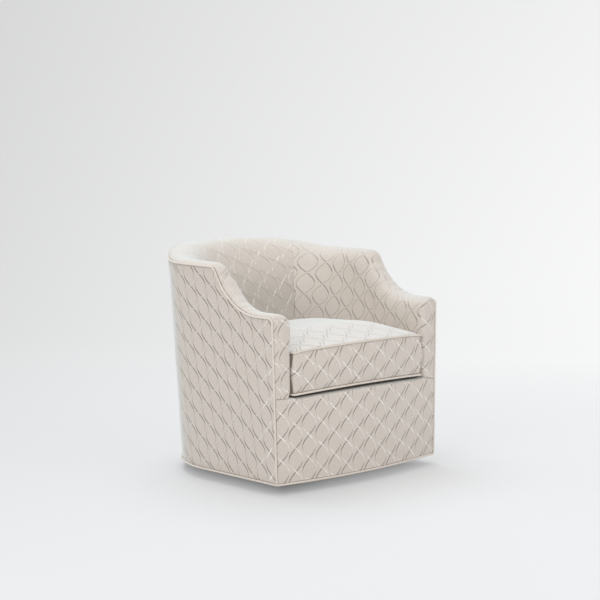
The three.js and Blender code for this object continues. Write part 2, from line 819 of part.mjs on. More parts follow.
// Plan of the loose seat, from the middle of the front edge round, inset from its widest line
function seatOutline(inset) {
  const half = insideHalfWidth - cushionClearance - inset;
  const corner = cushionCornerRadius;
  const points = [];
  const cornerFront = -hemFront - cushionOverhang;
  const frontY = (x) => cornerFront - cushionBow * (1 - (x / half) ** 2) + inset;
  for (let i = 0; i <= cushionFrontSteps; i += 1) {
    const x = (half - corner) * i / cushionFrontSteps;
    points.push([x, frontY(x)]);
  }
  for (const angle of [Math.PI / 6, Math.PI / 3]) {
    const y = frontY(half - corner) + corner * (1 - Math.cos(angle));
    points.push([half - corner + corner * Math.sin(angle), y]);
  }
  points.push([half, frontY(half - corner) + corner]);
  points.push([half, (cornerFront + lumbarBarrelStart) / 2]);
  const depth = lumbarBarrelDepth - cushionClearance - inset;
  for (let i = 0; i <= cushionBackSteps; i += 1) {
    const angle = Math.PI / 2 * i / cushionBackSteps;
    points.push([half * Math.cos(angle), lumbarBarrelStart + depth * Math.sin(angle)]);
  }
  const mirrored = points.slice(1, -1).reverse().map(([x, y]) => [-x, y]);
  return [...points, ...mirrored];
}

// Deck: padding and cloth over the seat springs
function deckPad() {
  const half = insideHalfWidth - deckClearance;
  const front = -outerPlan(deckTop).front + borderLip + touchGap;
  const shape = new THREE.Shape();
  shape.moveTo(-half, lumbarBarrelStart);
  shape.lineTo(-half, front);
  for (let i = 1; i < borderSteps; i += 1) {
    const x = lerp(-half, half, i / borderSteps);
    shape.lineTo(x, front - bowAt(x, outerPlan(deckTop).half) + bowAt(half, outerPlan(deckTop).half));
  }
  shape.lineTo(half, front);
  shape.lineTo(half, lumbarBarrelStart);
  const steps = 2 * barrelSteps;
  for (let i = 1; i < steps; i += 1) {
    const angle = Math.PI * i / steps;
    const depth = lumbarBarrelDepth - deckClearance;
    shape.lineTo(half * Math.cos(angle), lumbarBarrelStart + depth * Math.sin(angle));
  }
  const pad = new THREE.ExtrudeGeometry(shape, { depth: deckThickness, bevelEnabled: false });
  return pad.translate(0, 0, deckBottom);
}
add('deck_pad', deckPad(), deckCloth);

// Seat cushion: a crowned boxed form whose edges draw in at the welts
function cushion() {
  const draw = cushionWeltRadius + 2 * touchGap;
  const rows = [];
  const outer = seatOutline(0);
  const ring = (inset, z) => rows.push(seatOutline(inset).map(([x, y]) => new THREE.Vector3(x, y, z)));
  const dome = (share, z) => rows.push(outer.map(([x, y]) => new THREE.Vector3(
    share * x,
    lerp(lumbarBarrelStart, y, share),
    z,
  )));
  const highDomeShares = [[0.96, 0.3], [0.86, 0.58], [0.66, 0.82], [0.36, 0.97]];
  const lowDomeShares = [[0.4, 0], [0.72, 0], [0.84, 0.52], [0.95, 0.86]];
  for (const [share, rise] of lowDomeShares) {
    dome(share, lerp(cushionBottom, cushionEdgeLow, rise));
  }
  ring(draw, cushionEdgeLow);
  ring(0, cushionEdgeLow + 2 * draw);
  ring(0, (cushionEdgeLow + cushionEdgeHigh) / 2);
  ring(0, cushionEdgeHigh - 2 * draw);
  ring(draw, cushionEdgeHigh);
  for (const [share, rise] of highDomeShares) {
    dome(share, cushionEdgeHigh + cushionCrown * rise);
  }
  const count = outer.length;
  const points = rows.flat();
  const low = points.push(new THREE.Vector3(0, lumbarBarrelStart, cushionBottom)) - 1;
  const high = points.push(new THREE.Vector3(0, lumbarBarrelStart, cushionEdgeHigh + cushionCrown)) - 1;
  const triangles = [];
  for (let j = 0; j < count; j += 1) {
    const k = (j + 1) % count;
    triangles.push([low, k, j]);
    for (let i = 0; i + 1 < rows.length; i += 1) {
      const [a, b, c, d] = [i * count + j, i * count + k, (i + 1) * count + k, (i + 1) * count + j];
      triangles.push([a, b, c], [a, c, d]);
    }
    const last = (rows.length - 1) * count;
    triangles.push([last + j, last + k, high]);
  }
  return body(points, triangles);
}
add('seat_cushion', cushion(), cloth);
for (const [name, z] of [['bottom', cushionEdgeLow], ['top', cushionEdgeHigh]]) {
  const path = seatOutline(-2 * touchGap).map(([x, y]) => new THREE.Vector3(x, y, z));
  const sides = path.map(() => new THREE.Vector3(0, 0, 1));
  add(`cushion_${name}_welt`, sweep(path, sides, cushionWeltRadius, weltSides, true), cloth);
}

// Mechanism boards run from the front bottom rail to the back bottom rail and carry the cams
const boardBottom = bottomRailTop + touchGap;
function mechanismBoard(side) {
  const plan = outerPlan(boardBottom);
  const outerEdge = rockerSpread + boardWidth / 2;
  const innerEdge = rockerSpread - boardWidth / 2;
  const front = -plan.front - bowAt(outerEdge, plan.half) + railDepth + touchGap;
  const angle = Math.acos(outerEdge / plan.half);
  const back = plan.start + plan.depth * Math.sin(angle) - 2 * frameInset;
  const [low, high] = side < 0 ? [-outerEdge, -innerEdge] : [innerEdge, outerEdge];
  return block(
    new THREE.Vector3(low, front, boardBottom),
    new THREE.Vector3(high, back, boardBottom + timber),
  );
}

// Rocker cam: a board with a round underside that rolls on the bed rail
function rockerCam(side) {
  const contact = bedTop + touchGap;
  const top = boardBottom - touchGap;
  const halfTurn = Math.asin(camHalfLength / camRadius);
  const shape = new THREE.Shape();
  shape.moveTo(camHalfLength, top);
  shape.lineTo(-camHalfLength, top);
  for (let i = 0; i <= camSteps; i += 1) {
    const angle = lerp(-halfTurn, halfTurn, i / camSteps);
    shape.lineTo(camRadius * Math.sin(angle), contact + camRadius * (1 - Math.cos(angle)));
  }
  const cam = new THREE.ExtrudeGeometry(shape, { depth: camWidth, bevelEnabled: false });
  cam.rotateX(Math.PI / 2).rotateZ(Math.PI / 2);
  return cam.translate(side * rockerSpread - camWidth / 2, 0, 0);
}

// Coil spring between the bed rail and the mechanism board
function coilSpring() {
  const low = bedTop + touchGap + coilWire / 2;
  const high = boardBottom - touchGap - coilWire / 2;
  const steps = coilTurns * coilTurnSteps;
  const path = [];
  const sides = [];
  for (let i = 0; i <= steps; i += 1) {
    const angle = 2 * Math.PI * i / coilTurnSteps;
    const out = new THREE.Vector3(Math.cos(angle), Math.sin(angle), 0);
    sides.push(out);
    path.push(out.clone().multiplyScalar(coilRadius).setZ(lerp(low, high, i / steps)));
  }
  return sweep(path, sides, coilWire / 2, coilSides);
}

// Heights of the swivel bearing, which carries the bed rails
const plinthTop = glideHeight + plinthThickness;
const bearingBottom = plinthTop + touchGap;
const ballMiddle = bearingBottom + raceThickness + touchGap + ballRadius;
const upperRaceBottom = ballMiddle + ballRadius + touchGap;
const raceTop = upperRaceBottom + raceThickness;
const bedBottom = raceTop + touchGap;

// Bed rail: a pressed channel, open below, that the cam rolls on
function channel(length, width, height, wall) {
  const half = width / 2;
  const shape = new THREE.Shape([
    new THREE.Vector2(-half, 0),
    new THREE.Vector2(-half + wall, 0),
    new THREE.Vector2(-half + wall, height - wall),
    new THREE.Vector2(half - wall, height - wall),
    new THREE.Vector2(half - wall, 0),
    new THREE.Vector2(half, 0),
    new THREE.Vector2(half, height),
    new THREE.Vector2(-half, height),
  ]);
  const bar = new THREE.ExtrudeGeometry(shape, { depth: length, bevelEnabled: false });
  return bar.translate(0, 0, -length / 2).rotateX(Math.PI / 2);
}

for (const [name, side] of hands) {
  add(`${name}_mechanism_board`, mechanismBoard(side), timberFinish);
  add(`${name}_rocker_cam`, rockerCam(side), darkSteel);
  const bed = channel(2 * bedHalfLength, bedWidth, bedTop - bedBottom, bedWall);
  add(`${name}_bed_rail`, bed.translate(side * rockerSpread, 0, bedBottom), darkSteel);
}
const coilPlace = bedHalfLength - coilInset;
for (const [end, way] of ends) {
  for (const [name, side] of hands) {
    const coil = coilSpring().translate(side * rockerSpread, way * coilPlace, 0);
    add(`${end}_${name}_coil`, coil, steelFinish);
  }
  const crossLength = 2 * rockerSpread - bedWidth - 2 * touchGap;
  const cross = channel(crossLength, crossDepth, (bedTop - bedBottom) / 2, bedWall);
  add(`${end}_bed_cross`, cross.rotateZ(Math.PI / 2).translate(0, way * crossPlace, bedBottom), darkSteel);
}

// Ball bearing: two pressed races with a caged row of balls between them
add('upper_race', turned([
  [boltRadius + touchGap, upperRaceBottom],
  [raceRadius, upperRaceBottom],
  [raceRadius, raceTop],
  [boltRadius + touchGap, raceTop],
], raceSides), steelFinish);
add('lower_race', turned([
  [raceBore, bearingBottom],
  [raceRadius, bearingBottom],
  [raceRadius, bearingBottom + raceLip],
  [raceRadius - raceThickness, bearingBottom + raceLip],
  [raceRadius - raceThickness, bearingBottom + raceThickness],
  [raceBore, bearingBottom + raceThickness],
], raceSides), steelFinish);

function ballCage() {
  const ballTrack = raceRadius - ballTrackInset;
  const ring = turned([
    [ballTrack - cageHalfWidth, ballMiddle - cageThickness / 2],
    [ballTrack + cageHalfWidth, ballMiddle - cageThickness / 2],
    [ballTrack + cageHalfWidth, ballMiddle + cageThickness / 2],
    [ballTrack - cageHalfWidth, ballMiddle + cageThickness / 2],
  ], raceSides);
  const balls = Array.from({ length: ballCount }, (_, i) => {
    const angle = 2 * Math.PI * (i + 0.5) / ballCount;
    const ball = new THREE.SphereGeometry(ballRadius, ballSides, ballRings).rotateX(Math.PI / 2);
    return ball.translate(ballTrack * Math.cos(angle), ballTrack * Math.sin(angle), ballMiddle);
  });
  return join(ring, ...balls);
}
add('ball_cage', ballCage(), steelFinish);

// Pivot: a bolt through the upper race and the plinth, held by a nut in a recess below
const recessTop = glideHeight + nutRecessDepth;
const nutTop = recessTop - nutTopClearance;
add('pivot_bolt', turned([
  [0, nutTop - nutHeight],
  [boltRadius, nutTop - nutHeight],
  [boltRadius, bedBottom],
  [boltHeadRadius, bedBottom],
  [boltHeadRadius, bedBottom + boltHeadHeight],
  [0, bedBottom + boltHeadHeight],
], boltSides), steelFinish);
add('pivot_nut', turned([
  [boltRadius + touchGap, nutTop - nutHeight],
  [nutRadius, nutTop - nutHeight],
  [nutRadius, nutTop],
  [boltRadius + touchGap, nutTop],
], nutSides), steelFinish);

// Base: a round plinth on four glides
const nutRecessRadius = nutRadius + nutRecessClearance;
add('base_plinth', turned([
  [nutRecessRadius, glideHeight],
  [plinthRadius - plinthChamfer, glideHeight],
  [plinthRadius, glideHeight + plinthChamfer],
  [plinthRadius, plinthTop - plinthChamfer],
  [plinthRadius - plinthChamfer, plinthTop],
  [boltRadius + touchGap, plinthTop],
  [boltRadius + touchGap, recessTop],
  [nutRecessRadius, recessTop],
], plinthSides), plinthFinish);
const glideSpread = plinthRadius - glideInset;
const glideThickness = glideHeight - touchGap;
for (let i = 0; i < 4; i += 1) {
  const angle = Math.PI / 4 + Math.PI / 2 * i;
  const glide = new THREE.CylinderGeometry(glideRadius, glideRadius, glideThickness, glideSides);
  glide.rotateX(Math.PI / 2);
  glide.translate(glideSpread * Math.cos(angle), glideSpread * Math.sin(angle), glideThickness / 2);
  add(`glide_${i + 1}`, glide, nylon);
}

export default chair;
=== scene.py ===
# %% [markdown]
# # An upholstered barrel chair that swivels and rocks
#
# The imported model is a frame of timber, springs and steel with plain solids where the padding is.
# This script keeps the frame, dresses it in fabric, and replaces each soft solid with a piece that is
# modelled the way an upholsterer makes it: covers cut to panels, welts in the seams, and a boxed
# cushion that is blown up with a cloth simulation.

# %% Load the frame
import math

import bmesh
import bpy
import numpy as np
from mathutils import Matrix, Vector
from mathutils.kdtree import KDTree


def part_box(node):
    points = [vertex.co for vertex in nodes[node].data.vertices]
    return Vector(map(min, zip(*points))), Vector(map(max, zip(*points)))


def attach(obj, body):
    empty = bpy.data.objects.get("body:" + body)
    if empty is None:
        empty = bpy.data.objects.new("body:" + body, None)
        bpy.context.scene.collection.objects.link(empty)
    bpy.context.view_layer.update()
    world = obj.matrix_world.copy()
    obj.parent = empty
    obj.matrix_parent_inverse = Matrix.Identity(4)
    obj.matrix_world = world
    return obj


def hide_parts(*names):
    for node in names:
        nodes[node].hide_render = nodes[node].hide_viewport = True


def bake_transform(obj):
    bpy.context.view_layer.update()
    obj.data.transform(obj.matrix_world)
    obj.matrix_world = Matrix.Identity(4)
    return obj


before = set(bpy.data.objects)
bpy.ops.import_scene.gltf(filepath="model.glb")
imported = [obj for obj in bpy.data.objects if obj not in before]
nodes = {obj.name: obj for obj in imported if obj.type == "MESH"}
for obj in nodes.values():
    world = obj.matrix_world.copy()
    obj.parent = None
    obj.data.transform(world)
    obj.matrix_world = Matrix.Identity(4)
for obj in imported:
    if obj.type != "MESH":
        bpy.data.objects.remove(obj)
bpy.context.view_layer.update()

# %% [markdown]
# ## The camera
#
# The photograph was taken with a long lens from the left of the chair and a little above it. A long
# lens keeps upright lines almost parallel, so the distance matters as much as the angle.

# %% Camera
camera_place = (-4.2448, -4.5163, 1.3108)
camera_tilt = math.radians(90 - 6.716)
camera_turn = math.radians(-43.65)
lens_length = 107.25
sensor_width = 36.0

camera_data = bpy.data.cameras.new("camera")
camera_data.lens = lens_length
camera_data.sensor_width = sensor_width
camera = bpy.data.objects.new("camera", camera_data)
camera.location = camera_place
camera.rotation_euler = (camera_tilt, 0, camera_turn)
bpy.context.scene.collection.objects.link(camera)
bpy.context.scene.camera = camera
print("camera at", camera_place, "with a lens of", lens_length, "mm")

# %% [markdown]
# ## Sizes
#
# The shell is described by a plan at the hem and a plan at the rim, and everything between them is
# mixed. These are the same driving sizes as in the solid model, in metres.

# %% Sizes of the shell
hem_height = 0.033
rim_height = 0.728
rim_half = 0.3925
side_rake = 0.0165
hem_front = 0.354
front_rake = 0.010
rim_back = 0.389
back_rake = 0.044
hem_barrel = 0.328
rim_barrel = 0.312
front_bow = 0.0375

arm_height = 0.580
level_end = 0.270
slope_reach = 0.230
slope_rise = 0.266
corner_round = 0.011
back_rise = 0.034
back_rise_start = 0.140

arm_thickness = 0.0765
lumbar_height = 0.485
lumbar_thickness = 0.231
lumbar_barrel = 0.275
shoulder_rise = 0.007
shoulder_thickness = 0.096
shoulder_barrel = 0.280

seam_height = 0.311
deck_top = 0.3096
welt_radius = 0.0034
welt_proud = 0.0044
touch_gap = 0.0003
print("shell is", 2 * rim_half, "m wide at the rim")

# %% [markdown]
# A place on the wall is a station, a height and an inset. Station 0 is the middle of the back, 1 is
# where the barrel meets the straight side, and 2 is the front corner; the left side is negative. With
# this one function every cover, welt and seam finds its place.

# %% Places on the wall
def mix(a, b, t):
    return a + (b - a) * t


def ease(x, low, high):
    t = np.clip((x - low) / (high - low), 0, 1)
    return t * t * (3 - 2 * t)


def outer_plan(z):
    t = (z - hem_height) / (rim_height - hem_height)
    half = mix(rim_half - side_rake, rim_half, t)
    front = mix(hem_front, hem_front - front_rake, t)
    depth = mix(hem_barrel, rim_barrel, t)
    start = mix(rim_back - back_rake, rim_back, t) - depth
    return half, front, start, depth


def wall(station, z, inset=0.0, shift=0.0):
    station, z, inset, shift = np.broadcast_arrays(station, z, inset, shift)
    half, front, start, depth = outer_plan(z)
    along = np.abs(station) + shift / (front + start)
    turn = (1 - np.minimum(along, 1)) * np.pi / 2
    across, back = np.cos(turn) / half, np.sin(turn) / depth
    length = np.hypot(across, back)
    x = half * np.cos(turn) - inset * across / length
    y = start + depth * np.sin(turn) - inset * back / length
    y = y - np.maximum(along - 1, 0) * (front + start)
    return np.stack([np.where(station < 0, -x, x), y, z], axis=-1)


def inner_inset(station, z):
    inside_half = rim_half - arm_thickness
    lean = np.clip((z - lumbar_height) / (rim_height + shoulder_rise - lumbar_height), 0, None)
    depth = mix(lumbar_barrel, shoulder_barrel, lean)
    start = mix(rim_back - lumbar_thickness, rim_back - shoulder_thickness, lean) - depth
    low, high = np.zeros_like(z), np.full_like(z, inside_half)
    for _ in range(32):
        inset = (low + high) / 2
        place = wall(station, z, inset)
        outside = np.hypot(place[..., 0] / inside_half, np.maximum(0, (place[..., 1] - start) / depth)) > 1
        low, high = np.where(outside, inset, low), np.where(outside, high, inset)
    return high


# %% [markdown]
# The top line runs level along the arm, sweeps up on part of an ellipse, turns a soft corner, and
# rises a little towards the middle of the back.

# %% The top line
corner_steps = 9
slope_turn = math.acos(1 - (rim_height - arm_height) / slope_rise)


def top_line(y):
    total = 0
    for step in np.linspace(-corner_round, corner_round, corner_steps):
        share = np.clip((y + step + level_end) / slope_reach, 0, math.sin(slope_turn))
        total = total + arm_height + slope_rise * (1 - np.sqrt(1 - share ** 2))
    return total / corner_steps + back_rise * ease(y, back_rise_start, rim_back)


def edge_table():
    barrel = np.linspace(0, 1, 60)
    top = np.full_like(barrel, rim_height)
    for _ in range(6):
        top = top_line(wall(barrel, top)[:, 1])
    barrel_y = wall(barrel, top)[:, 1]
    side_y = np.linspace(barrel_y[-1], -outer_plan(arm_height)[1], 180)[1:]
    side_top = top_line(side_y)
    _, front, start, _ = outer_plan(side_top)
    side_station = 1 + (start - side_y) / (start + front)
    slope = np.arctan(np.gradient(side_top, side_y))
    return (
        np.concatenate([barrel, side_station]),
        np.concatenate([barrel_y, side_y]),
        np.concatenate([top, side_top]),
        np.concatenate([np.zeros_like(barrel), slope]),
    )


edge_station, edge_y, edge_top, edge_slope = edge_table()


def edge_at(station):
    at = np.abs(station)
    return tuple(np.interp(at, edge_station, values) for values in (edge_y, edge_top, edge_slope))


def near_top(station, inset, rise):
    _, top, slope = edge_at(station)
    return inset, top + rise * np.cos(slope), rise * np.sin(slope)


side_length = hem_front + rim_back - back_rake - hem_barrel
print("top line from", round(float(edge_top.min()), 3), "to", round(float(edge_top.max()), 3))


# %% [markdown]
# ## From points to a closed cover
#
# Upholstery is made of skins: a cover with a little padding behind it. A skin is a grid of points
# that is given a thickness, so that each piece is one closed body with no stray faces. The cloth's own
# coordinates are stored with it in metres, measured along the cover the way a roll of fabric lies on
# it, so that the woven pattern keeps its real size and runs over the rolled edges.

# %% Skins
def skin_normals(skin):
    along = np.gradient(skin, axis=0)
    across = np.gradient(skin, axis=1)
    normal = np.cross(along, across)
    length = np.linalg.norm(normal, axis=-1, keepdims=True)
    normal = normal / np.maximum(length, 1e-12)
    turned_over = (normal[:, 1:] * normal[:, :-1]).sum(-1) < 0
    normal[:, 1:][turned_over] = normal[:, :-1][turned_over]
    return normal


def grid_faces(rows, columns, offset=0, flip=False):
    faces = []
    for i in range(rows - 1):
        for j in range(columns - 1):
            a = offset + i * columns + j
            face = [a, a + columns, a + columns + 1, a + 1]
            faces.append(face[::-1] if flip else face)
    return faces


def ring_faces(rings, sides, closed=False):
    faces = []
    for i in range(rings if closed else rings - 1):
        for j in range(sides):
            k, n = (j + 1) % sides, (i + 1) % rings
            faces.append([i * sides + j, i * sides + k, n * sides + k, n * sides + j])
    return faces


def new_piece(name, points, faces, corner_uv=None, sharp_angle=50):
    mesh = bpy.data.meshes.new(name)
    mesh.from_pydata([tuple(p) for p in points], [], faces)
    if corner_uv is not None:
        layer = mesh.uv_layers.new(name="cloth")
        layer.uv.foreach_set("vector", np.asarray(corner_uv, float).ravel())
    work = bmesh.new()
    work.from_mesh(mesh)
    bmesh.ops.remove_doubles(work, verts=work.verts, dist=1e-6)
    bmesh.ops.dissolve_degenerate(work, edges=work.edges, dist=1e-6)
    bmesh.ops.recalc_face_normals(work, faces=work.faces)
    for edge in work.edges:
        edge.smooth = len(edge.link_faces) == 2 and edge.calc_face_angle(0) < math.radians(sharp_angle)
    work.to_mesh(mesh)
    work.free()
    mesh.polygons.foreach_set("use_smooth", [True] * len(mesh.polygons))
    piece = bpy.data.objects.new(name, mesh)
    bpy.context.scene.collection.objects.link(piece)
    return piece


def outward_normals(skin, facing):
    normals = skin_normals(skin)
    middle = normals[skin.shape[0] // 2, skin.shape[1] // 2]
    return -normals if np.dot(middle, facing) < 0 else normals


def skin_piece(name, skin, thickness, cloth, facing):
    rows, columns = skin.shape[:2]
    normals = outward_normals(skin, facing)
    count = rows * columns
    points = np.concatenate([skin.reshape(-1, 3), (skin - thickness * normals).reshape(-1, 3)])
    faces = grid_faces(rows, columns) + grid_faces(rows, columns, count, flip=True)
    rim = [i * columns for i in range(rows)]
    rim += [(rows - 1) * columns + j for j in range(1, columns)]
    rim += [i * columns + columns - 1 for i in range(rows - 2, -1, -1)]
    rim += [j for j in range(columns - 2, 0, -1)]
    for a, b in zip(rim, rim[1:] + rim[:1]):
        faces.append([a, b, b + count, a + count])
    flat = cloth.reshape(-1, 2)
    corner_uv = [flat[k % count] for face in faces for k in face]
    return new_piece(name, points, faces, corner_uv)


def run_length(points):
    steps = np.linalg.norm(np.diff(points, axis=0), axis=-1)
    return np.concatenate([np.zeros((1, *steps.shape[1:])), np.cumsum(steps, axis=0)])


def resample(values, count):
    length = run_length(values[:, :2])
    wanted = np.linspace(0, length[-1], count)
    return np.stack([np.interp(wanted, length, column) for column in values.T], axis=-1)


# %% [markdown]
# ## The inside covers
#
# Inside each arm and the back, one cover goes up the inner face, rolls over the crown and ends at the
# welt on the outer edge. Its section is a straight face, a curve that takes it over the roll, and a
# quarter turn down to the welt. Where the arm sweeps up, the cover has to go round a hollow curve, and
# the fullness gathers into short creases at the welt.

# %% Section of the inside covers
arm_crown_rise = 0.012
back_crown_rise = 0.013
slope_swell = 0.004
arm_crown_inset = 0.020
back_crown_inset = 0.033
arm_crown_depth = 0.090
back_crown_depth = 0.055
crown_setback = 0.040
crown_least = 0.001
crown_reach_share = 0.55
roll_reach_share = 0.98
roll_rise_share = 0.80
roll_bulge = 0.009
roll_lift = 0.003
lean_length = 0.018
welt_inset = welt_radius - welt_proud
welt_edge = welt_inset + welt_radius + touch_gap
section_columns = 72


def inner_section(station, foot):
    y, top, _ = edge_at(station)
    share = ease(top, arm_height, rim_height)
    depth = mix(arm_crown_depth, back_crown_depth, share)
    slope_top = top_line(y - crown_setback) if abs(station) > 1 else top
    shoulder = max(float(slope_top - depth), lumbar_height + crown_least)
    face_z = np.linspace(foot, shoulder, 30)
    face = np.stack([inner_inset(station, face_z), face_z, np.zeros(30)], axis=-1)
    full = 1 - ease(share, 0.7, 1.0)
    rise = mix(arm_crown_rise, back_crown_rise, share) + slope_swell * math.sin(math.pi * share)
    inset = mix(arm_crown_inset, back_crown_inset, share)
    crown = np.array(near_top(station, inset, rise), float)
    below = inner_inset(station, np.array([shoulder - lean_length]))[0]
    up = mix(crown_reach_share, roll_rise_share, full) * (crown[1] - shoulder)
    start = face[-1]
    corner_a = start + np.array([(start[0] - below) / lean_length * up + roll_bulge * full, up, 0])
    reach = mix(crown_reach_share, roll_reach_share, full)
    corner_b = np.array([mix(inset, start[0], reach), crown[1] + roll_lift * full, crown[2]])
    t = np.linspace(0, 1, 40)[1:, None]
    roll = (1 - t) ** 3 * start + 3 * t * (1 - t) ** 2 * corner_a
    roll = roll + 3 * t ** 2 * (1 - t) * corner_b + t ** 3 * crown
    turn = np.linspace(0, np.pi / 2, 12)[1:]
    edge_inset = mix(inset, welt_edge, np.sin(turn))
    edge_rise = mix(welt_radius, rise, np.cos(turn))
    edge = np.stack(near_top(station, edge_inset, edge_rise), axis=-1)
    return resample(np.concatenate([face, roll, edge]), section_columns)


# %% [markdown]
# Real covers are never mirror flat. A few quiet waves are added along the normals, always smaller
# than the padding, and each cover dips at its seams.

# %% Relief of the covers
ripple_lengths = (0.31, 0.19, 0.12)


def dip(distance, width, depth):
    t = np.clip(distance / width, 0, 1)
    return -depth * (1 - np.sqrt(1 - (1 - t) ** 2))


def ripples(u, v, seed, size):
    dice = np.random.default_rng(seed)
    total = 0
    for wave in ripple_lengths:
        turn, phase = dice.uniform(0, np.pi), dice.uniform(0, 2 * np.pi, 2)
        total = total + wave * np.sin((u * np.cos(turn) + v * np.sin(turn)) * 2 * np.pi / wave + phase[0])
        total = total + wave * np.sin((v * np.cos(turn) - u * np.sin(turn)) * 2 * np.pi / wave + phase[1])
    return size * total


def raised(skin, amount, facing):
    return skin + outward_normals(skin, facing) * amount[..., None]


# %% [markdown]
# The creases on the swept part of the arm start at the welt and fade over the roll. Each has its own
# strength and length, so they don't look ruled.

# %% Creases where the cover goes round the hollow of the arm
crease_places = (-0.245, -0.222, -0.196, -0.168, -0.141, -0.112, -0.086)
crease_depth = 0.003
crease_width = 0.0042
crease_reaches = (0.12, 0.24)
crease_leans = (-0.02, 0.03)
crease_strengths = (0.5, 1.2)
ridge_share = 0.6
ridge_offset = 1.8


def arm_creases(skin, station_y, seed):
    dice = np.random.default_rng(seed)
    across = np.linspace(0, 1, skin.shape[1])
    total = np.zeros(skin.shape[:2])
    for place in crease_places:
        reach = dice.uniform(*crease_reaches)
        lean = dice.uniform(*crease_leans)
        depth = crease_depth * dice.uniform(*crease_strengths)
        from_welt = np.clip((1 - across) / reach, 0, 1)
        centre = place + lean * from_welt
        fade = np.sin(np.pi * from_welt ** 0.7) * (1 - 0.5 * from_welt)
        away = (station_y[:, None] - centre[None, :]) / (crease_width * (1 + from_welt[None, :]))
        total -= depth * np.exp(-away ** 2) * fade[None, :]
        total += ridge_share * depth * np.exp(-(away - ridge_offset) ** 2) * fade[None, :]
    return total


# %% [markdown]
# The arm's front is part of the same cover. The last sections turn round a soft edge, and then the
# cover runs flat across the front to the corner welt, with a little fullness in the middle.

# %% Inside arms
back_seam = 7 / 13
seam_dip_width = 0.004
seam_dip_depth = 0.0010
seam_gap = 0.0002
arm_foot = seam_height + touch_gap
pad_thickness = 0.014
inside_half = rim_half - arm_thickness
front_round = 0.020
front_swell = 0.006
crown_round = 0.016
front_fullness = 0.003
seam_places = (-0.385, -0.316, -0.285, 0.285, 0.316, 0.385)
seam_drifts = (0.0075, 0.0055, 0.0, 0.0, 0.003, -0.007)
face_columns = 12
inner_arm_lean = math.radians(-3.7)
inner_arm_start = {"left": (-0.0022, 0.5675), "right": (-0.0075, 0.5815)}
inner_arm_slip = -0.0355
back_lean = math.radians(9.5)
back_start = (0.1197, 0.640)
hands = (("left", -1), ("right", 1))
measured_column = 20
arm_ripple = 0.0012
swell_width = 0.035
swell_start, swell_end = 0.24, 0.33
swell_rise = 0.03
drift_start = 0.28
drift_rise = 0.05


def lay(across, up, turn=0.0, start=(0.0, 0.0)):
    return np.stack([
        across * math.cos(turn) + up * math.sin(turn) - start[0],
        up * math.cos(turn) - across * math.sin(turn) - start[1],
    ], axis=-1)


def bow(x, half):
    return front_bow * (1 - (x / half) ** 2)


def arm_front_y(x, z):
    half, front, _, _ = outer_plan(z)
    return -front - bow(x, half) + 0.001


def seam_drift(x):
    return np.interp(x, seam_places, seam_drifts)


def arm_cap(end, lengths, along):
    flat = end[:, [0, 2]]
    run = run_length(flat)
    tangent = np.gradient(flat, axis=0)
    tangent /= np.linalg.norm(tangent, axis=-1, keepdims=True)
    from_edge = run[-1] - run
    edge = 1 - ease(from_edge, 0.0, 0.03)[:, None]
    way = mix(np.stack([tangent[:, 1], -tangent[:, 0]], axis=-1), np.array([0.0, -1.0]), edge)
    way /= np.linalg.norm(way, axis=-1, keepdims=True)
    radius = mix(crown_round, front_round, ease(from_edge, 0.02, 0.09))
    start_y = end[:, 1] - (front_round - radius)
    rows, cloth = [], []
    for turn in np.linspace(0, np.pi / 2, 10):
        share = turn / (np.pi / 2)
        at = flat + way * (radius * (1 - np.cos(turn)))[:, None]
        y = mix(start_y, arm_front_y(at[:, 0], at[:, 1]), np.sin(turn))
        rows.append(np.stack([at[:, 0], y, at[:, 1]], axis=-1))
        section = np.stack([along + front_round - radius + radius * turn, lengths], axis=-1)
        face = np.stack([along + front_round * (np.pi / 2 - 1) + at[:, 0] - inside_half, at[:, 1]], axis=-1)
        cloth.append(mix(section, face, share))
    return rows, cloth


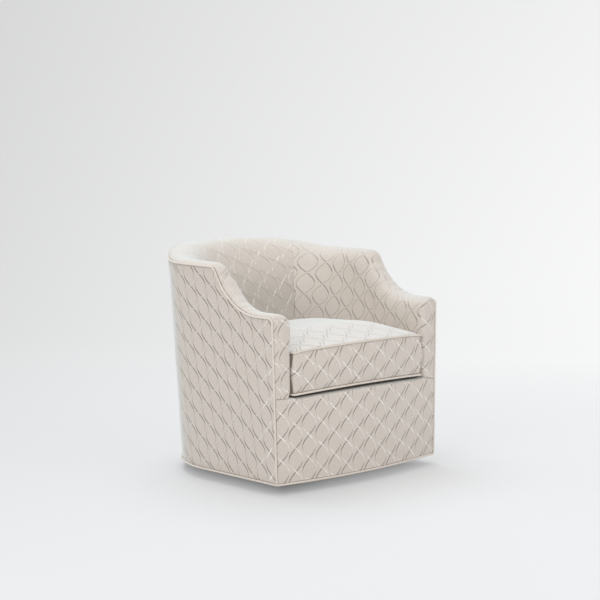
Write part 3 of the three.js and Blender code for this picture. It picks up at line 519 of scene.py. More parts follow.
def inside_arm(hand, side):
    last = 2 - front_round / side_length
    stations = np.concatenate([np.linspace(back_seam + seam_gap, 1.0, 26), np.linspace(1.0, last, 66)[1:]])
    sections = np.stack([inner_section(s, arm_foot) for s in stations])
    skin = wall(stations[:, None], sections[..., 1], sections[..., 0], sections[..., 2])
    reference = run_length(skin[:, measured_column])
    lengths = run_length(np.moveaxis(sections[..., :2], 1, 0)).T + arm_foot
    cloth = np.stack([np.broadcast_to(reference[:, None], lengths.shape), lengths], axis=-1)
    station_y = edge_at(stations)[0]
    from_seam = reference[:, None] + 0 * lengths
    relief = dip(from_seam, seam_dip_width, seam_dip_depth) + arm_creases(skin, station_y, 11)
    relief += ripples(cloth[..., 0], cloth[..., 1], 5, arm_ripple)
    quiet = ease(lengths.max() - lengths, 0, 0.02) * ease(reference[-1] - reference, 0, 0.03)[:, None]
    skin = raised(skin, relief * quiet, np.array([-1.0, 0, 0.3]))

    rows, row_cloth = arm_cap(skin[-1], lengths[-1], reference[-1])
    outline = rows[-1]
    height = mix(outline[0, 2], outline[-1, 2], np.linspace(0, 1, section_columns))
    target = np.stack([outer_plan(height)[0] - welt_edge, height], axis=-1)
    for t in np.linspace(0, 1, face_columns + 1)[1:]:
        at = mix(outline[:, [0, 2]], target, t)
        full = front_fullness * np.sin(np.pi * t) * np.sin(np.pi * np.linspace(0, 1, section_columns))
        y = arm_front_y(at[:, 0], at[:, 1]) - full
        rows.append(np.stack([at[:, 0], y, at[:, 1]], axis=-1))
        across = reference[-1] + front_round * (np.pi / 2 - 1) + at[:, 0] - inside_half
        row_cloth.append(np.stack([across, at[:, 1]], axis=-1))
    whole = np.concatenate([skin, np.array(rows)])
    cloth = np.concatenate([cloth, np.array(row_cloth)])
    swell = front_swell * (1 - ease(whole[..., 0], inside_half, inside_half + swell_width))
    forward = ease(-whole[..., 1], swell_start, swell_end)
    whole[..., 0] -= swell * forward * ease(whole[..., 2], arm_foot, arm_foot + swell_rise)
    cloth = lay(cloth[..., 0], cloth[..., 1], inner_arm_lean, inner_arm_start[hand])
    cloth[..., 1] += inner_arm_slip * ease(cloth[..., 0], 0.26, 0.50)
    cloth = cloth * [side, 1]
    whole[..., 0] *= side
    low = 1 - ease(whole[..., 2], arm_foot, arm_foot + drift_rise)
    whole[..., 2] += seam_drift(whole[..., 0]) * low * ease(-whole[..., 1], drift_start, swell_end)
    facing = np.array([-side, 0, 0.3])
    return skin_piece(f"cover_inside_{hand}_arm", whole, pad_thickness, cloth, facing)


inside_arms = {hand: inside_arm(hand, side) for hand, side in hands}
print("inside arm faces:", len(inside_arms["left"].data.polygons))


# %% [markdown]
# The inside back is the same section, carried round the back of the tub between the two seams.

# %% Inside back
back_ripple = 0.0014


def inside_back():
    stations = np.linspace(-back_seam + seam_gap, back_seam - seam_gap, 84)
    sections = np.stack([inner_section(s, deck_top) for s in stations])
    skin = wall(stations[:, None], sections[..., 1], sections[..., 0], sections[..., 2])
    reference = run_length(skin[:, measured_column])
    lengths = run_length(np.moveaxis(sections[..., :2], 1, 0)).T + deck_top
    across = np.broadcast_to((reference - reference[-1] / 2)[:, None], lengths.shape)
    cloth = lay(across, lengths, back_lean, back_start)
    from_seam = np.minimum(reference, reference[-1] - reference)[:, None] + 0 * lengths
    relief = dip(from_seam, seam_dip_width, seam_dip_depth)
    relief += ripples(cloth[..., 0], cloth[..., 1], 8, back_ripple)
    quiet = ease(lengths.max() - lengths, 0, 0.02)
    facing = np.array([0, -1.0, 0.3])
    skin = raised(skin, relief * quiet, facing)
    return skin_piece("cover_inside_back", skin, pad_thickness, cloth, facing)


back_cover = inside_back()
print("inside back faces:", len(back_cover.data.polygons))

# %% [markdown]
# ## The outside covers and the front border
#
# The outside covers are stretched over the bare frame, so they are thin and nearly flat, with only a
# slight pull towards the welts. The front border is padded, bows forward, and rolls over the front of
# the seat under the cushion.

# %% Outside covers
outside_seam = 5 / 13
panel_thickness = 0.0024
hem_top = hem_height + 2 * welt_radius + touch_gap
welt_clear = welt_radius + touch_gap
panel_rows = 52
edge_dip_width = 0.009
edge_dip_depth = 0.0018
pattern_lean = math.radians(5.5)
side_pattern_start = (0.0332, 0.0328)
panel_ripple = 0.0007
measured_height = 0.35
front_row = 10
corner_reach = crown_round - (welt_radius - welt_inset + touch_gap)
corner_fall = crown_round - welt_radius - welt_clear
panel_front = 2 - (welt_radius - welt_inset + touch_gap) / side_length


def outside_cover(name, stations, front_edge, turn, start, facing):
    share = np.linspace(0, 1, panel_rows)
    _, high, shift = near_top(stations, 0, -welt_clear)
    reference = run_length(wall(stations, np.full_like(stations, measured_height)))
    if front_edge:
        corner = np.clip(1 - reference / corner_reach, 0, 1)
        high = high - corner_fall * (1 - np.sqrt(1 - corner ** 2))
    z = mix(hem_top, high[:, None], share[None, :])
    slide = shift[:, None] * ease(share, 0.8, 1)[None, :]
    skin = wall(stations[:, None], z, 0.0, slide)
    forward = -skin[0, front_row, 1] - reference if front_edge else reference - reference[-1] / 2
    u = np.broadcast_to(forward[:, None], z.shape)
    from_front = reference if front_edge else np.ones_like(reference)
    near = np.minimum(np.minimum(z - hem_top, high[:, None] - z), from_front[:, None])
    relief = dip(near, edge_dip_width, edge_dip_depth)
    relief += ripples(u, z, 3, panel_ripple) * ease(near, 0, 0.05)
    skin = raised(skin, relief, facing)
    to_the_right = 1 if facing[0] < 0 else -1
    return skin_piece(name, skin, panel_thickness, lay(to_the_right * u, z, turn, start), facing)


near_front = panel_front - corner_reach / side_length * (1 - np.cos(np.linspace(0, np.pi / 2, 12)))
arm_stations = np.concatenate([near_front, np.linspace(near_front[-1], outside_seam + seam_gap, 110)[1:]])
outside_arms = {}
for hand, side in hands:
    outside_arms[hand] = outside_cover(
        f"cover_outside_{hand}_arm", side * arm_stations, True, pattern_lean, side_pattern_start,
        np.array([side * 1.0, 0, 0]))
back_stations = np.linspace(-outside_seam + seam_gap, outside_seam - seam_gap, 50)
outside_back = outside_cover(
    "cover_outside_back", back_stations, False, 0.0, (0.0, 0.0), np.array([0, 1.0, 0]))
print("outside arm faces:", len(outside_arms["left"].data.polygons))

# %% Front border
border_thickness = 0.007
border_lip = 0.060
border_round = 0.009
border_crown = 0.0075
border_crown_share = 0.8
border_crown_reach = 0.12
border_ripple = 0.0009
border_side_lip = 0.004
border_pattern_start = (-0.0364, 0.0344)


def front_border():
    share = np.linspace(-1, 1, 121)
    low_z = np.linspace(hem_top, seam_height - border_round, 34)
    turns = np.linspace(0, np.pi / 2, 9)[1:]
    columns = [(z, 0.0, 0.0) for z in low_z]
    for turn in turns:
        rise = seam_height - border_round + border_round * math.sin(turn)
        columns.append((rise, border_round * (1 - math.cos(turn)), 0.0))
    for step in np.linspace(0, 1, 8)[1:]:
        columns.append((seam_height, border_round, step))
    skin = np.zeros((len(share), len(columns), 3))
    half_all = outer_plan(np.array([c[0] for c in columns]))[0] - welt_edge
    for j, (z, depth, lip) in enumerate(columns):
        half, front, _, _ = outer_plan(z)
        x = share * half_all[j]
        beside = np.abs(x) > inside_half - 0.001
        reach = np.where(beside, border_side_lip, border_lip - border_round)
        crown = border_crown * np.maximum(0, 1 - (share / border_crown_share) ** 2)
        lift = crown * ease(z, seam_height - border_crown_reach, seam_height)
        lift += seam_drift(x) * ease(z, seam_height - drift_rise, seam_height)
        skin[:, j] = np.stack([x, -front - bow(x, half) + depth + lip * reach, z + lift], axis=-1)
    lengths = hem_top + run_length(np.moveaxis(skin, 1, 0)).T
    cloth = lay(skin[..., 0], lengths, start=border_pattern_start)
    face = (np.array([c[1] for c in columns]) == 0)[None, :]
    above_hem = lengths - hem_top
    relief = dip(above_hem, edge_dip_width, edge_dip_depth)
    relief = relief + ripples(skin[..., 0], lengths, 21, border_ripple)
    relief = relief * np.where(face, 1, 0.3) * ease(above_hem, 0, 0.004)
    facing = np.array([0, -1.0, 0.2])
    skin = raised(skin, relief, facing)
    return skin_piece("cover_front_border", skin, border_thickness, cloth, facing)


border = front_border()
print("front border faces:", len(border.data.polygons))


# %% [markdown]
# ## Welts
#
# A welt is a cord in a bias strip of the cover, sewn into the seam. It is swept along the edge it
# follows, and it gets a slight unevenness, because the strip is pulled tight over the cord by hand.

# %% Welts
welt_sides = 14
cord_swell = 0.03
cord_swell_length = 0.031


def cord(name, path, sides, radius, closed=False, seed=1):
    path, sides = np.asarray(path, float), np.asarray(sides, float)
    if closed:
        tangent = np.roll(path, -1, axis=0) - np.roll(path, 1, axis=0)
    else:
        tangent = np.gradient(path, axis=0)
    tangent /= np.linalg.norm(tangent, axis=-1, keepdims=True)
    side = sides - (sides * tangent).sum(-1, keepdims=True) * tangent
    side /= np.linalg.norm(side, axis=-1, keepdims=True)
    up = np.cross(tangent, side)
    dice = np.random.default_rng(seed)
    length = run_length(path)
    swell = 1 + cord_swell * np.sin(length * 2 * np.pi / cord_swell_length + dice.uniform(0, 6))
    angle = np.linspace(0, 2 * np.pi, welt_sides, endpoint=False)
    ring = np.cos(angle)[None, :, None] * side[:, None] + np.sin(angle)[None, :, None] * up[:, None]
    points = (path[:, None] + radius * swell[:, None, None] * ring).reshape(-1, 3)
    faces = ring_faces(len(path), welt_sides, closed)
    ends = list(length[1:])
    if closed:
        ends.append(length[-1] + np.linalg.norm(path[0] - path[-1]))
    corner_uv = []
    for near, far in zip(length, ends):
        for start in angle:
            around, more = welt_radius * start, welt_radius * (start + angle[1])
            corner_uv += [(near, around), (near, more), (far, more), (far, around)]
    if not closed:
        faces.append(list(range(welt_sides)))
        faces.append([(len(path) - 1) * welt_sides + j for j in range(welt_sides)])
        corner_uv += [(0, 0)] * (2 * welt_sides)
    return new_piece(name, points, faces, corner_uv)


def corner_station(distance):
    return 2 - distance / side_length


welt_end = corner_station(-welt_inset)
turn_reach = (crown_round + welt_inset) / side_length
turn_fall = crown_round - welt_radius


def welt_half():
    low = arm_height - turn_fall
    up = np.stack([np.full(90, welt_end), np.linspace(hem_top, low, 90)], axis=-1)
    turn = np.linspace(0, np.pi / 2, 14)[1:-1]
    over = np.stack([welt_end - turn_reach * (1 - np.cos(turn)), low + turn_fall * np.sin(turn)], axis=-1)
    at = np.concatenate([np.linspace(welt_end - turn_reach, 1, 130), np.linspace(1, 0, 61)[1:]])
    return np.concatenate([up, over, np.stack([at, edge_at(at)[1]], axis=-1)])


half_path = welt_half()
whole_path = np.concatenate([half_path * [-1, 1], half_path[-2::-1]])
welt_path = wall(whole_path[:, 0], whole_path[:, 1], welt_inset)
welt_inner = wall(whole_path[:, 0], whole_path[:, 1], welt_edge)
shell_welt = cord("welt_shell", welt_path, welt_path - welt_inner, welt_radius)
print("welt round the shell:", round(float(run_length(welt_path)[-1]), 3), "m")

# %% Welt round the hem
hem_z = hem_height + welt_radius
hem_end = corner_station(welt_radius)
around = np.concatenate([
    np.linspace(-hem_end, -1, 60),
    np.linspace(-1, 1, 120)[1:-1],
    np.linspace(1, hem_end, 60),
])
hem_path = wall(around, hem_z, welt_inset)
hem_half, hem_front_y, _, _ = outer_plan(hem_z)
front_x = np.linspace(1, -1, 110) * (hem_half - welt_radius)
front_path = np.stack([
    front_x,
    -hem_front_y - bow(front_x, hem_half) + welt_inset,
    np.full_like(front_x, hem_z),
], axis=-1)
hem_path = np.concatenate([hem_path, front_path])
hem_sides = hem_path[:len(around)] - wall(around, hem_z, welt_edge)
hem_out = np.concatenate([hem_sides, np.tile([0, -1.0, 0], (len(front_x), 1))])
bottom_welt = cord("welt_bottom", hem_path, hem_out, welt_radius, closed=True)
print("welt round the hem:", round(float(run_length(hem_path)[-1]), 3), "m")


# %% [markdown]
# ## The seat cushion
#
# A boxed cushion has a top and a bottom panel and a border sewn between them with a welt in each seam.
# The plain form is remeshed to even squares and blown up as cloth while the two seams are held, so the
# panels crown, the border swells between the seams, and small puckers form where the cloth is held.

# %% Plan of the cushion
cushion_clearance = 0.010
cushion_overhang = 0.003
cushion_bow = 0.020
cushion_corner = 0.008
cushion_low = 0.326
cushion_high = 0.461
cushion_crown = 0.034
cushion_welt_radius = 0.0034
lumbar_start = rim_back - lumbar_thickness - lumbar_barrel


def cushion_plan(inset, spacing=0.006):
    half = inside_half - cushion_clearance - inset
    corner = cushion_corner
    corner_front = -hem_front - cushion_overhang

    def front_y(x):
        return corner_front - cushion_bow * (1 - (x / half) ** 2) + inset

    x = np.linspace(0, half - corner, 50)
    front = np.stack([x, front_y(x)], axis=-1)
    turn = np.linspace(0, np.pi / 2, 9)[1:]
    round_corner = np.stack([
        half - corner + corner * np.sin(turn),
        front_y(half - corner) + corner * (1 - np.cos(turn)),
    ], axis=-1)
    side_y = np.linspace(round_corner[-1, 1], lumbar_start, 40)[1:]
    side = np.stack([np.full_like(side_y, half), side_y], axis=-1)
    turn = np.linspace(0, np.pi / 2, 60)[1:]
    depth = lumbar_barrel - cushion_clearance - inset
    back = np.stack([half * np.cos(turn), lumbar_start + depth * np.sin(turn)], axis=-1)
    right = np.concatenate([front, round_corner, side, back])
    left = right[1:-1][::-1] * [-1, 1]
    outline = np.concatenate([right, left, right[:1]])
    length = run_length(outline)
    count = int(length[-1] / spacing)
    wanted = np.linspace(0, length[-1], count, endpoint=False)
    return np.stack([np.interp(wanted, length, column) for column in outline.T], axis=-1)


print("cushion plan has", len(cushion_plan(0)), "points")


# %% Plain form of the cushion
seam_draw = 0.003
border_belly = 0.006
border_edge = 0.014
underside_gap = 0.002
plain_crown = 0.72 * cushion_crown
underside_rings = ((0.40, 0), (0.72, 0), (0.84, 0.52), (0.95, 0.86))
crown_rings = ((0.97, 0.18), (0.90, 0.42), (0.76, 0.70), (0.55, 0.9), (0.28, 0.99))


def plain_cushion():
    outer = cushion_plan(0.0)

    def ring(inset):
        plan = cushion_plan(inset)
        at = np.arange(len(plan))
        wanted = np.linspace(0, len(plan), len(outer), endpoint=False)
        return np.stack([np.interp(wanted, at, column, period=len(plan)) for column in plan.T], axis=-1)

    middle = np.array([0, lumbar_start])
    base = deck_top + touch_gap + underside_gap
    rows = []
    for share, rise in underside_rings:
        rows.append((mix(middle, outer, share), mix(base, cushion_low, rise)))
    rows.append((ring(seam_draw), cushion_low))
    rows.append((ring(0.0), cushion_low + border_edge))
    rows.append((ring(-border_belly), (cushion_low + cushion_high) / 2))
    rows.append((ring(0.0), cushion_high - border_edge))
    rows.append((ring(seam_draw), cushion_high))
    for share, rise in crown_rings:
        rows.append((mix(middle, outer, share), cushion_high + plain_crown * rise))
    count = len(outer)
    points = [(*p, z) for plan, z in rows for p in plan]
    points += [(*middle, base), (*middle, cushion_high + plain_crown)]
    faces = ring_faces(len(rows), count)
    last = (len(rows) - 1) * count
    for j in range(count):
        k = (j + 1) % count
        faces.append([len(points) - 2, k, j])
        faces.append([last + j, last + k, len(points) - 1])
    return new_piece("cushion_cover", points, faces)


cushion = plain_cushion()


# %% Even squares, then cloth held at its seams
cloth_square = 0.006
cloth_pressure = 4.0
cloth_frames = 20
farthest_blown = 0.010
held_height = 0.0035
held_width = 0.016


def apply_modifiers(piece):
    bpy.context.view_layer.update()
    graph = bpy.context.evaluated_depsgraph_get()
    mesh = bpy.data.meshes.new_from_object(piece.evaluated_get(graph))
    piece.modifiers.clear()
    old = piece.data
    piece.data = mesh
    bpy.data.meshes.remove(old)


def mesh_points(piece):
    flat = np.empty(len(piece.data.vertices) * 3)
    piece.data.vertices.foreach_get("co", flat)
    return flat.reshape(-1, 3)


def set_points(piece, points):
    piece.data.vertices.foreach_set("co", points.ravel())
    piece.data.update()


def even_squares(piece):
    remesh = piece.modifiers.new("even", "REMESH")
    remesh.mode = "VOXEL"
    remesh.voxel_size = cloth_square
    apply_modifiers(piece)


def held_at_seams(points):
    near = np.minimum(abs(points[:, 2] - cushion_low), abs(points[:, 2] - cushion_high))
    plan = cushion_plan(seam_draw)
    steps = np.min(np.linalg.norm(points[:, None, :2] - plan[None, ::3], axis=-1), axis=1)
    return (near < held_height) & (steps < held_width)


def blow_up(piece):
    start = mesh_points(piece)
    group = piece.vertex_groups.new(name="held")
    group.add([int(k) for k in np.flatnonzero(held_at_seams(start))], 1.0, "REPLACE")
    cloth = piece.modifiers.new("cloth", "CLOTH")
    cloth.settings.use_pressure = True
    cloth.settings.uniform_pressure_force = cloth_pressure
    cloth.settings.vertex_group_mass = "held"
    cloth.settings.quality = 5
    cloth.settings.tension_stiffness = 25
    cloth.settings.compression_stiffness = 25
    cloth.settings.bending_stiffness = 3
    cloth.settings.effector_weights.gravity = 0
    cloth.point_cache.frame_start = 1
    cloth.point_cache.frame_end = cloth_frames
    for number in range(1, cloth_frames + 1):
        bpy.context.scene.frame_set(number)
    apply_modifiers(piece)
    moved = mesh_points(piece) - start
    far = np.linalg.norm(moved, axis=-1, keepdims=True)
    moved *= np.minimum(1, farthest_blown / np.maximum(far, 1e-9))
    set_points(piece, start + moved)
    bpy.context.scene.frame_set(1)
    print(piece.name, "moved", round(float(far.max()), 4), "at most")


even_squares(cushion)
blow_up(cushion)
print("cushion faces:", len(cushion.data.polygons))

# %% [markdown]
# A cushion that has been sat on settles: it droops at its free front corners and rides up over the
# rolled edge in the middle. Short gathers stand behind each front corner, where the top panel is
# eased round the turn. The cloth's coordinates are laid on afterwards: the border is measured round
# the cushion and upwards, and the top and bottom straight across, as they were cut.

# %% Settle the cushion and lay the cloth on it
settle_middle = 0.0075
settle_ends = 0.0085
plump = 0.006
dome = 0.024
dome_front, dome_back = 0.16, (-0.02, 0.11)
corner_droop = 0.003
droop_reach = 0.07
droop_start = 0.40
gather_depth = 0.0012
gather_length = 0.011
gather_middle, gather_reach = 0.028, 0.022
cushion_half = inside_half - cushion_clearance


def settle(points):
    x, y, z = points.T
    forward = 1 - ease(y, -0.36, -0.05)
    upper = ease(z, deck_top, cushion_low)
    share = np.abs(x) / cushion_half
    corner = np.hypot(np.abs(x) - cushion_half, y + hem_front)
    ride = settle_middle - settle_ends * share ** 2 + plump * ease(z, cushion_low, cushion_high)
    droop = corner_droop * (1 - ease(corner, 0.0, droop_reach)) * ease(z, droop_start, cushion_high)
    lift = ride * forward * upper - droop
    on_top = ease(z, cushion_high - 0.002, cushion_high + 0.004)
    behind_edge = ease(y, -hem_front, -hem_front + dome_front)
    before_back = 1 - ease(y, *dome_back)
    lift += dome * on_top * (1 - share ** 3.5) * behind_edge * before_back
    fold = np.sin((np.abs(x) - (y + hem_front)) * 2 * np.pi / gather_length)
    lift += gather_depth * fold * on_top * (1 - ease(np.abs(corner - gather_middle), 0.0, gather_reach))
    return np.column_stack([x, y, z + lift])


boxing_start = (-0.1932, 0.3997)
panel_start = (-0.1932, -0.365)


def nearest_on(plan, places):
    return np.argmin(np.linalg.norm(places[:, None] - plan[None], axis=-1), axis=1)


def lay_cloth(piece):
    mesh = piece.data
    plan = cushion_plan(0.0)
    length = run_length(np.concatenate([plan, plan[:1]]))
    layer = mesh.uv_layers.new(name="cloth")
    points = mesh_points(piece)
    centres = np.array([face.center[:] for face in mesh.polygons])
    steps = np.roll(plan, -1, axis=0) - np.roll(plan, 1, axis=0)
    steps /= np.linalg.norm(steps, axis=-1, keepdims=True)
    near = nearest_on(plan, centres[:, :2])
    for face, k, centre in zip(mesh.polygons, near, centres):
        upright = abs(face.normal.z) < 0.6 and cushion_low - 0.006 < centre[2] < cushion_high + 0.004
        face.material_index = 1 if upright else 0
        for loop in face.loop_indices:
            x, y, z = points[mesh.loops[loop].vertex_index]
            if upright:
                along = float(np.dot((x - plan[k, 0], y - plan[k, 1]), steps[k]))
                far = length[k] if k < len(plan) / 2 else length[k] - length[-1]
                layer.uv[loop].vector = (far + along - boxing_start[0], z - boxing_start[1])
            else:
                layer.uv[loop].vector = (x - panel_start[0], y - panel_start[1])


set_points(cushion, settle(mesh_points(cushion)))
lay_cloth(cushion)
for face in cushion.data.polygons:
    face.use_smooth = True
subdivide = cushion.modifiers.new("finer", "SUBSURF")
subdivide.levels = subdivide.render_levels = 1
apply_modifiers(cushion)
print("cushion stands up to", round(float(mesh_points(cushion)[:, 2].max()), 3), "m")

# %% Welts of the cushion
cushion_welts = {}
cushion_paths = []
for place, height in (("bottom", cushion_low), ("top", cushion_high)):
    plan = cushion_plan(seam_draw - cushion_welt_radius)
    path = settle(np.column_stack([plan, np.full(len(plan), height)]))
    cushion_paths.append(path)
    out = (plan - np.array([0, lumbar_start])) @ np.eye(2, 3)
    cushion_welts[place] = cord(f"welt_cushion_{place}", path, out, cushion_welt_radius, closed=True)
    print(place, "welt of the cushion:", round(float(run_length(path)[-1]), 3), "m")


# %% [markdown]
# ## Under the seat
#
# The deck is a flat pad in plain cloth. The dust cover is a thin black sheet that is stapled to the
# rails, with a round cut-out for the mechanism. The plinth is turned, and the four coil springs stand
# between the part that turns and the part that rocks.

# %% Deck
deck_thickness = 0.015
deck_clearance = 0.002
deck_round = 0.005
deck_play = 0.0002


def deck_plan(inset):
    half = inside_half - deck_clearance - inset
    front = -outer_plan(deck_top)[1] + border_lip + touch_gap + inset
    x = np.linspace(-half, half, 60)
    full_half = outer_plan(deck_top)[0]
    y = front - bow(x, full_half) + bow(half, full_half)
    front_edge = np.stack([x, y], axis=-1)
    side_y = np.linspace(y[-1], lumbar_start, 30)[1:]
    right = np.stack([np.full_like(side_y, half), side_y], axis=-1)
    turn = np.linspace(0, np.pi, 90)[1:]
    depth = lumbar_barrel - deck_clearance - inset
    back = np.stack([half * np.cos(turn), lumbar_start + depth * np.sin(turn)], axis=-1)
    left = np.stack([np.full_like(side_y, -half), side_y[::-1]], axis=-1)[1:]
    return np.concatenate([front_edge, right, back, left])


def deck():
    bottom = deck_top - deck_thickness
    top = deck_top - deck_play
    rings = [(0.03, bottom + 0.0005), (0.006, bottom + deck_play), (0.0, bottom + deck_round)]
    rings += [(0.0, deck_top - deck_round)]
    for turn in np.linspace(0, np.pi / 2, 5)[1:]:
        rings.append((deck_round * (1 - math.cos(turn)), top - deck_round * (1 - math.sin(turn))))
    rings += [(inset, top) for inset in np.linspace(deck_round, 0.14, 14)[1:]]
    plans = [deck_plan(inset) for inset, _ in rings]
    count = len(plans[0])
    points = np.array([(*p, z) for plan, (_, z) in zip(plans, rings) for p in plan])
    faces = ring_faces(len(rings), count)
    last = (len(rings) - 1) * count
    faces.append([last + j for j in range(count)])
    faces.append(list(range(count))[::-1])
    corner_uv = [points[k][:2] for face in faces for k in face]
    return new_piece("deck_cover", points, faces, corner_uv)


deck_piece = deck()
print("deck faces:", len(deck_piece.data.polygons))

# %% Dust cover
_, dust_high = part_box("dust_cover")
bed_half_length = 0.170
rocker_spread = 0.120
bed_half_width = 0.018
dust_clearance = 0.009
dust_hole = math.hypot(bed_half_length, rocker_spread + bed_half_width) + dust_clearance
dust_inset = 0.004
dust_sag = 0.003
dust_flutter = 0.0006
dust_thickness = 0.0006
dust_front_inset = 0.010


def dust_cover():
    turns = np.linspace(-np.pi, np.pi, 181)[:-1]
    front = np.linspace(0.36, -0.36, 60)[1:-1]
    outline = np.concatenate([
        wall(np.linspace(-1.93, 1.93, 120), dust_high.z, dust_inset)[:, :2],
        np.stack([front, -hem_front - bow(front, rim_half - side_rake) + dust_front_inset], axis=-1),
    ])
    angles = np.arctan2(outline[:, 1], outline[:, 0])
    order = np.argsort(angles)
    reach = np.interp(turns, angles[order], np.hypot(*outline.T)[order], period=2 * np.pi)
    shares = np.linspace(0, 1, 16)
    radius = mix(dust_hole, reach[:, None], shares[None, :])
    x, y = radius * np.cos(turns)[:, None], radius * np.sin(turns)[:, None]
    belly = np.sin(np.pi * shares)[None, :] * (1 + 0.25 * np.sin(9 * turns)[:, None])
    flutter = dust_flutter * np.sin(40 * turns)[:, None] * (shares ** 2)[None, :]
    z = dust_high.z - 0.0008 - dust_sag * belly - np.abs(flutter)
    skin = np.stack([x, y, z], axis=-1)
    skin = np.concatenate([skin, skin[:1]])
    cut_size = np.ptp(outline, axis=0)
    slices = 0.5 * reach * np.roll(reach, -1) * np.sin(turns[1] - turns[0])
    cut_area = np.sum(slices) - math.pi * dust_hole ** 2
    piece = skin_piece("dust_sheet", skin, dust_thickness, skin[..., :2], np.array([0, 0, 1.0]))
    return piece, cut_size, float(cut_area)


dust_piece, dust_cut, dust_area = dust_cover()
print("dust cover cut to", dust_cut.round(3), "m,", round(dust_area, 4), "square metres")


# %% Plinth
def turned(name, profile, sides=160):
    angle = np.linspace(0, 2 * np.pi, sides, endpoint=False)
    points = [(r * math.cos(a), r * math.sin(a), z) for r, z in profile for a in angle]
    faces = ring_faces(len(profile), sides, closed=True)
    corner_uv = [points[k][:2] for face in faces for k in face]
    return new_piece(name, points, faces, corner_uv, sharp_angle=30)


plinth_low, plinth_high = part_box("base_plinth")
plinth_radius = plinth_high.x
plinth_edge = 0.003
bolt_hole = 0.0083
recess_radius = 0.022
recess_top = plinth_low.z + 0.012
profile = [(recess_radius, plinth_low.z)]
for turn in np.linspace(0, np.pi / 2, 6):
    inward, upward = 1 - math.sin(turn), 1 - math.cos(turn)
    profile.append((plinth_radius - plinth_edge * inward, plinth_low.z + plinth_edge * upward))
for turn in np.linspace(0, np.pi / 2, 6):
    inward, downward = 1 - math.cos(turn), 1 - math.sin(turn)
    profile.append((plinth_radius - plinth_edge * inward, plinth_high.z - plinth_edge * downward))
profile += [(bolt_hole, plinth_high.z), (bolt_hole, recess_top), (recess_radius, recess_top)]
plinth = turned("plinth_disc", profile)
print("plinth radius", round(plinth_radius, 4), "m")

# %% Coil springs
coil_radius = 0.015
coil_wire = 0.0025
coil_turns = 5
coil_place = bed_half_length - 0.025
coil_flat = 0.10
bed_top = 0.0743
board_foot = 0.1353
coil_low = bed_top + coil_wire
coil_high = board_foot - touch_gap - coil_wire
coils = {}
for end, way in (("front", -1), ("back", 1)):
    for hand, side in hands:
        turn = np.linspace(0, 1, coil_turns * 32 + 1)
        height = mix(coil_low, coil_high, np.clip((turn - coil_flat) / (1 - 2 * coil_flat), 0, 1))
        angle = 2 * np.pi * (coil_turns + 1) * turn
        out = np.column_stack([np.cos(angle), np.sin(angle), 0 * angle])
        path = out * coil_radius + np.array([side * rocker_spread, way * coil_place, 0])
        path[:, 2] = height
        coils[f"{end}_{hand}"] = cord(f"spring_{end}_{hand}", path, out, coil_wire)
print("coils stand from", round(bed_top, 4), "to", round(board_foot - touch_gap, 4), "m")


# %% [markdown]
# ## Shader groups
#
# The cover is a jacquard. Its pattern is a traditional ogee: columns of pointed ovals, each column
# half a repeat above the next. Every column is two waves that cross, and the satin of each wave
# catches the light on one slope and loses it on the other. The group returns a mask of the lines and
# how they lean, and each material paints that light and shade into its colour.

# %% A small kit for shader nodes
def feed(tree, socket, value):
    if isinstance(value, tuple):
        socket.default_value = (*value, 1)
    elif isinstance(value, (int, float)):
        socket.default_value = value
    else:
        tree.links.new(value, socket)


class Nodes:
    def __init__(self, tree):
        self.tree = tree

    def add(self, kind):
        return self.tree.nodes.new(f"ShaderNode{kind}")

    def join(self, value, socket):
        self.tree.links.new(value, socket)

    def math(self, kind, *values):
        node = self.add("Math")
        node.operation = kind
        for socket, value in zip(node.inputs, values):
            feed(self.tree, socket, value)
        return node.outputs[0]

    def times(self, *values):
        result = values[0]
        for value in values[1:]:
            result = self.math("MULTIPLY", result, value)
        return result

    def ramp(self, value, low, high, start=0.0, end=1.0, kind="SMOOTHSTEP"):
        node = self.add("MapRange")
        node.interpolation_type = kind
        limits = (("From Min", low), ("From Max", high), ("To Min", start), ("To Max", end))
        for label, given in (("Value", value), *limits):
            feed(self.tree, node.inputs[label], given)
        return node.outputs[0]

    def noise(self, vector, scale, detail):
        node = self.add("TexNoise")
        self.join(vector, node.inputs["Vector"])
        node.inputs["Scale"].default_value = scale
        node.inputs["Detail"].default_value = detail
        return node.outputs["Fac"]

    def split(self, vector):
        node = self.add("SeparateXYZ")
        self.join(vector, node.inputs[0])
        return [node.outputs[axis] for axis in "XYZ"]

    def blend(self, share, first, second):
        node = self.add("Mix")
        node.data_type = "RGBA"
        self.join(share, node.inputs["Factor"])
        for label, value in (("A", first), ("B", second)):
            socket = [s for s in node.inputs if s.name == label and s.type == "RGBA"][0]
            feed(self.tree, socket, value)
        return [s for s in node.outputs if s.type == "RGBA"][0]


class Group(Nodes):
    def __init__(self, name, inputs, outputs):
        super().__init__(bpy.data.node_groups.new(name, "ShaderNodeTree"))
        for label, kind, value in inputs:
            socket = self.tree.interface.new_socket(label, in_out="INPUT", socket_type=f"NodeSocket{kind}")
            if value is not None:
                socket.default_value = value
        for label in outputs:
            self.tree.interface.new_socket(label, in_out="OUTPUT", socket_type="NodeSocketFloat")
        self.inputs = self.tree.nodes.new("NodeGroupInput")
        self.outputs = self.tree.nodes.new("NodeGroupOutput")

    def read(self, label):
        return self.inputs.outputs[label]

    def give(self, label, value):
        self.join(value, self.outputs.inputs[label])


# %% The ogee trellis
line_least, line_slanted = 0.40, 0.34
line_core, line_edge = 0.45, 1.15
point_opening = 0.13


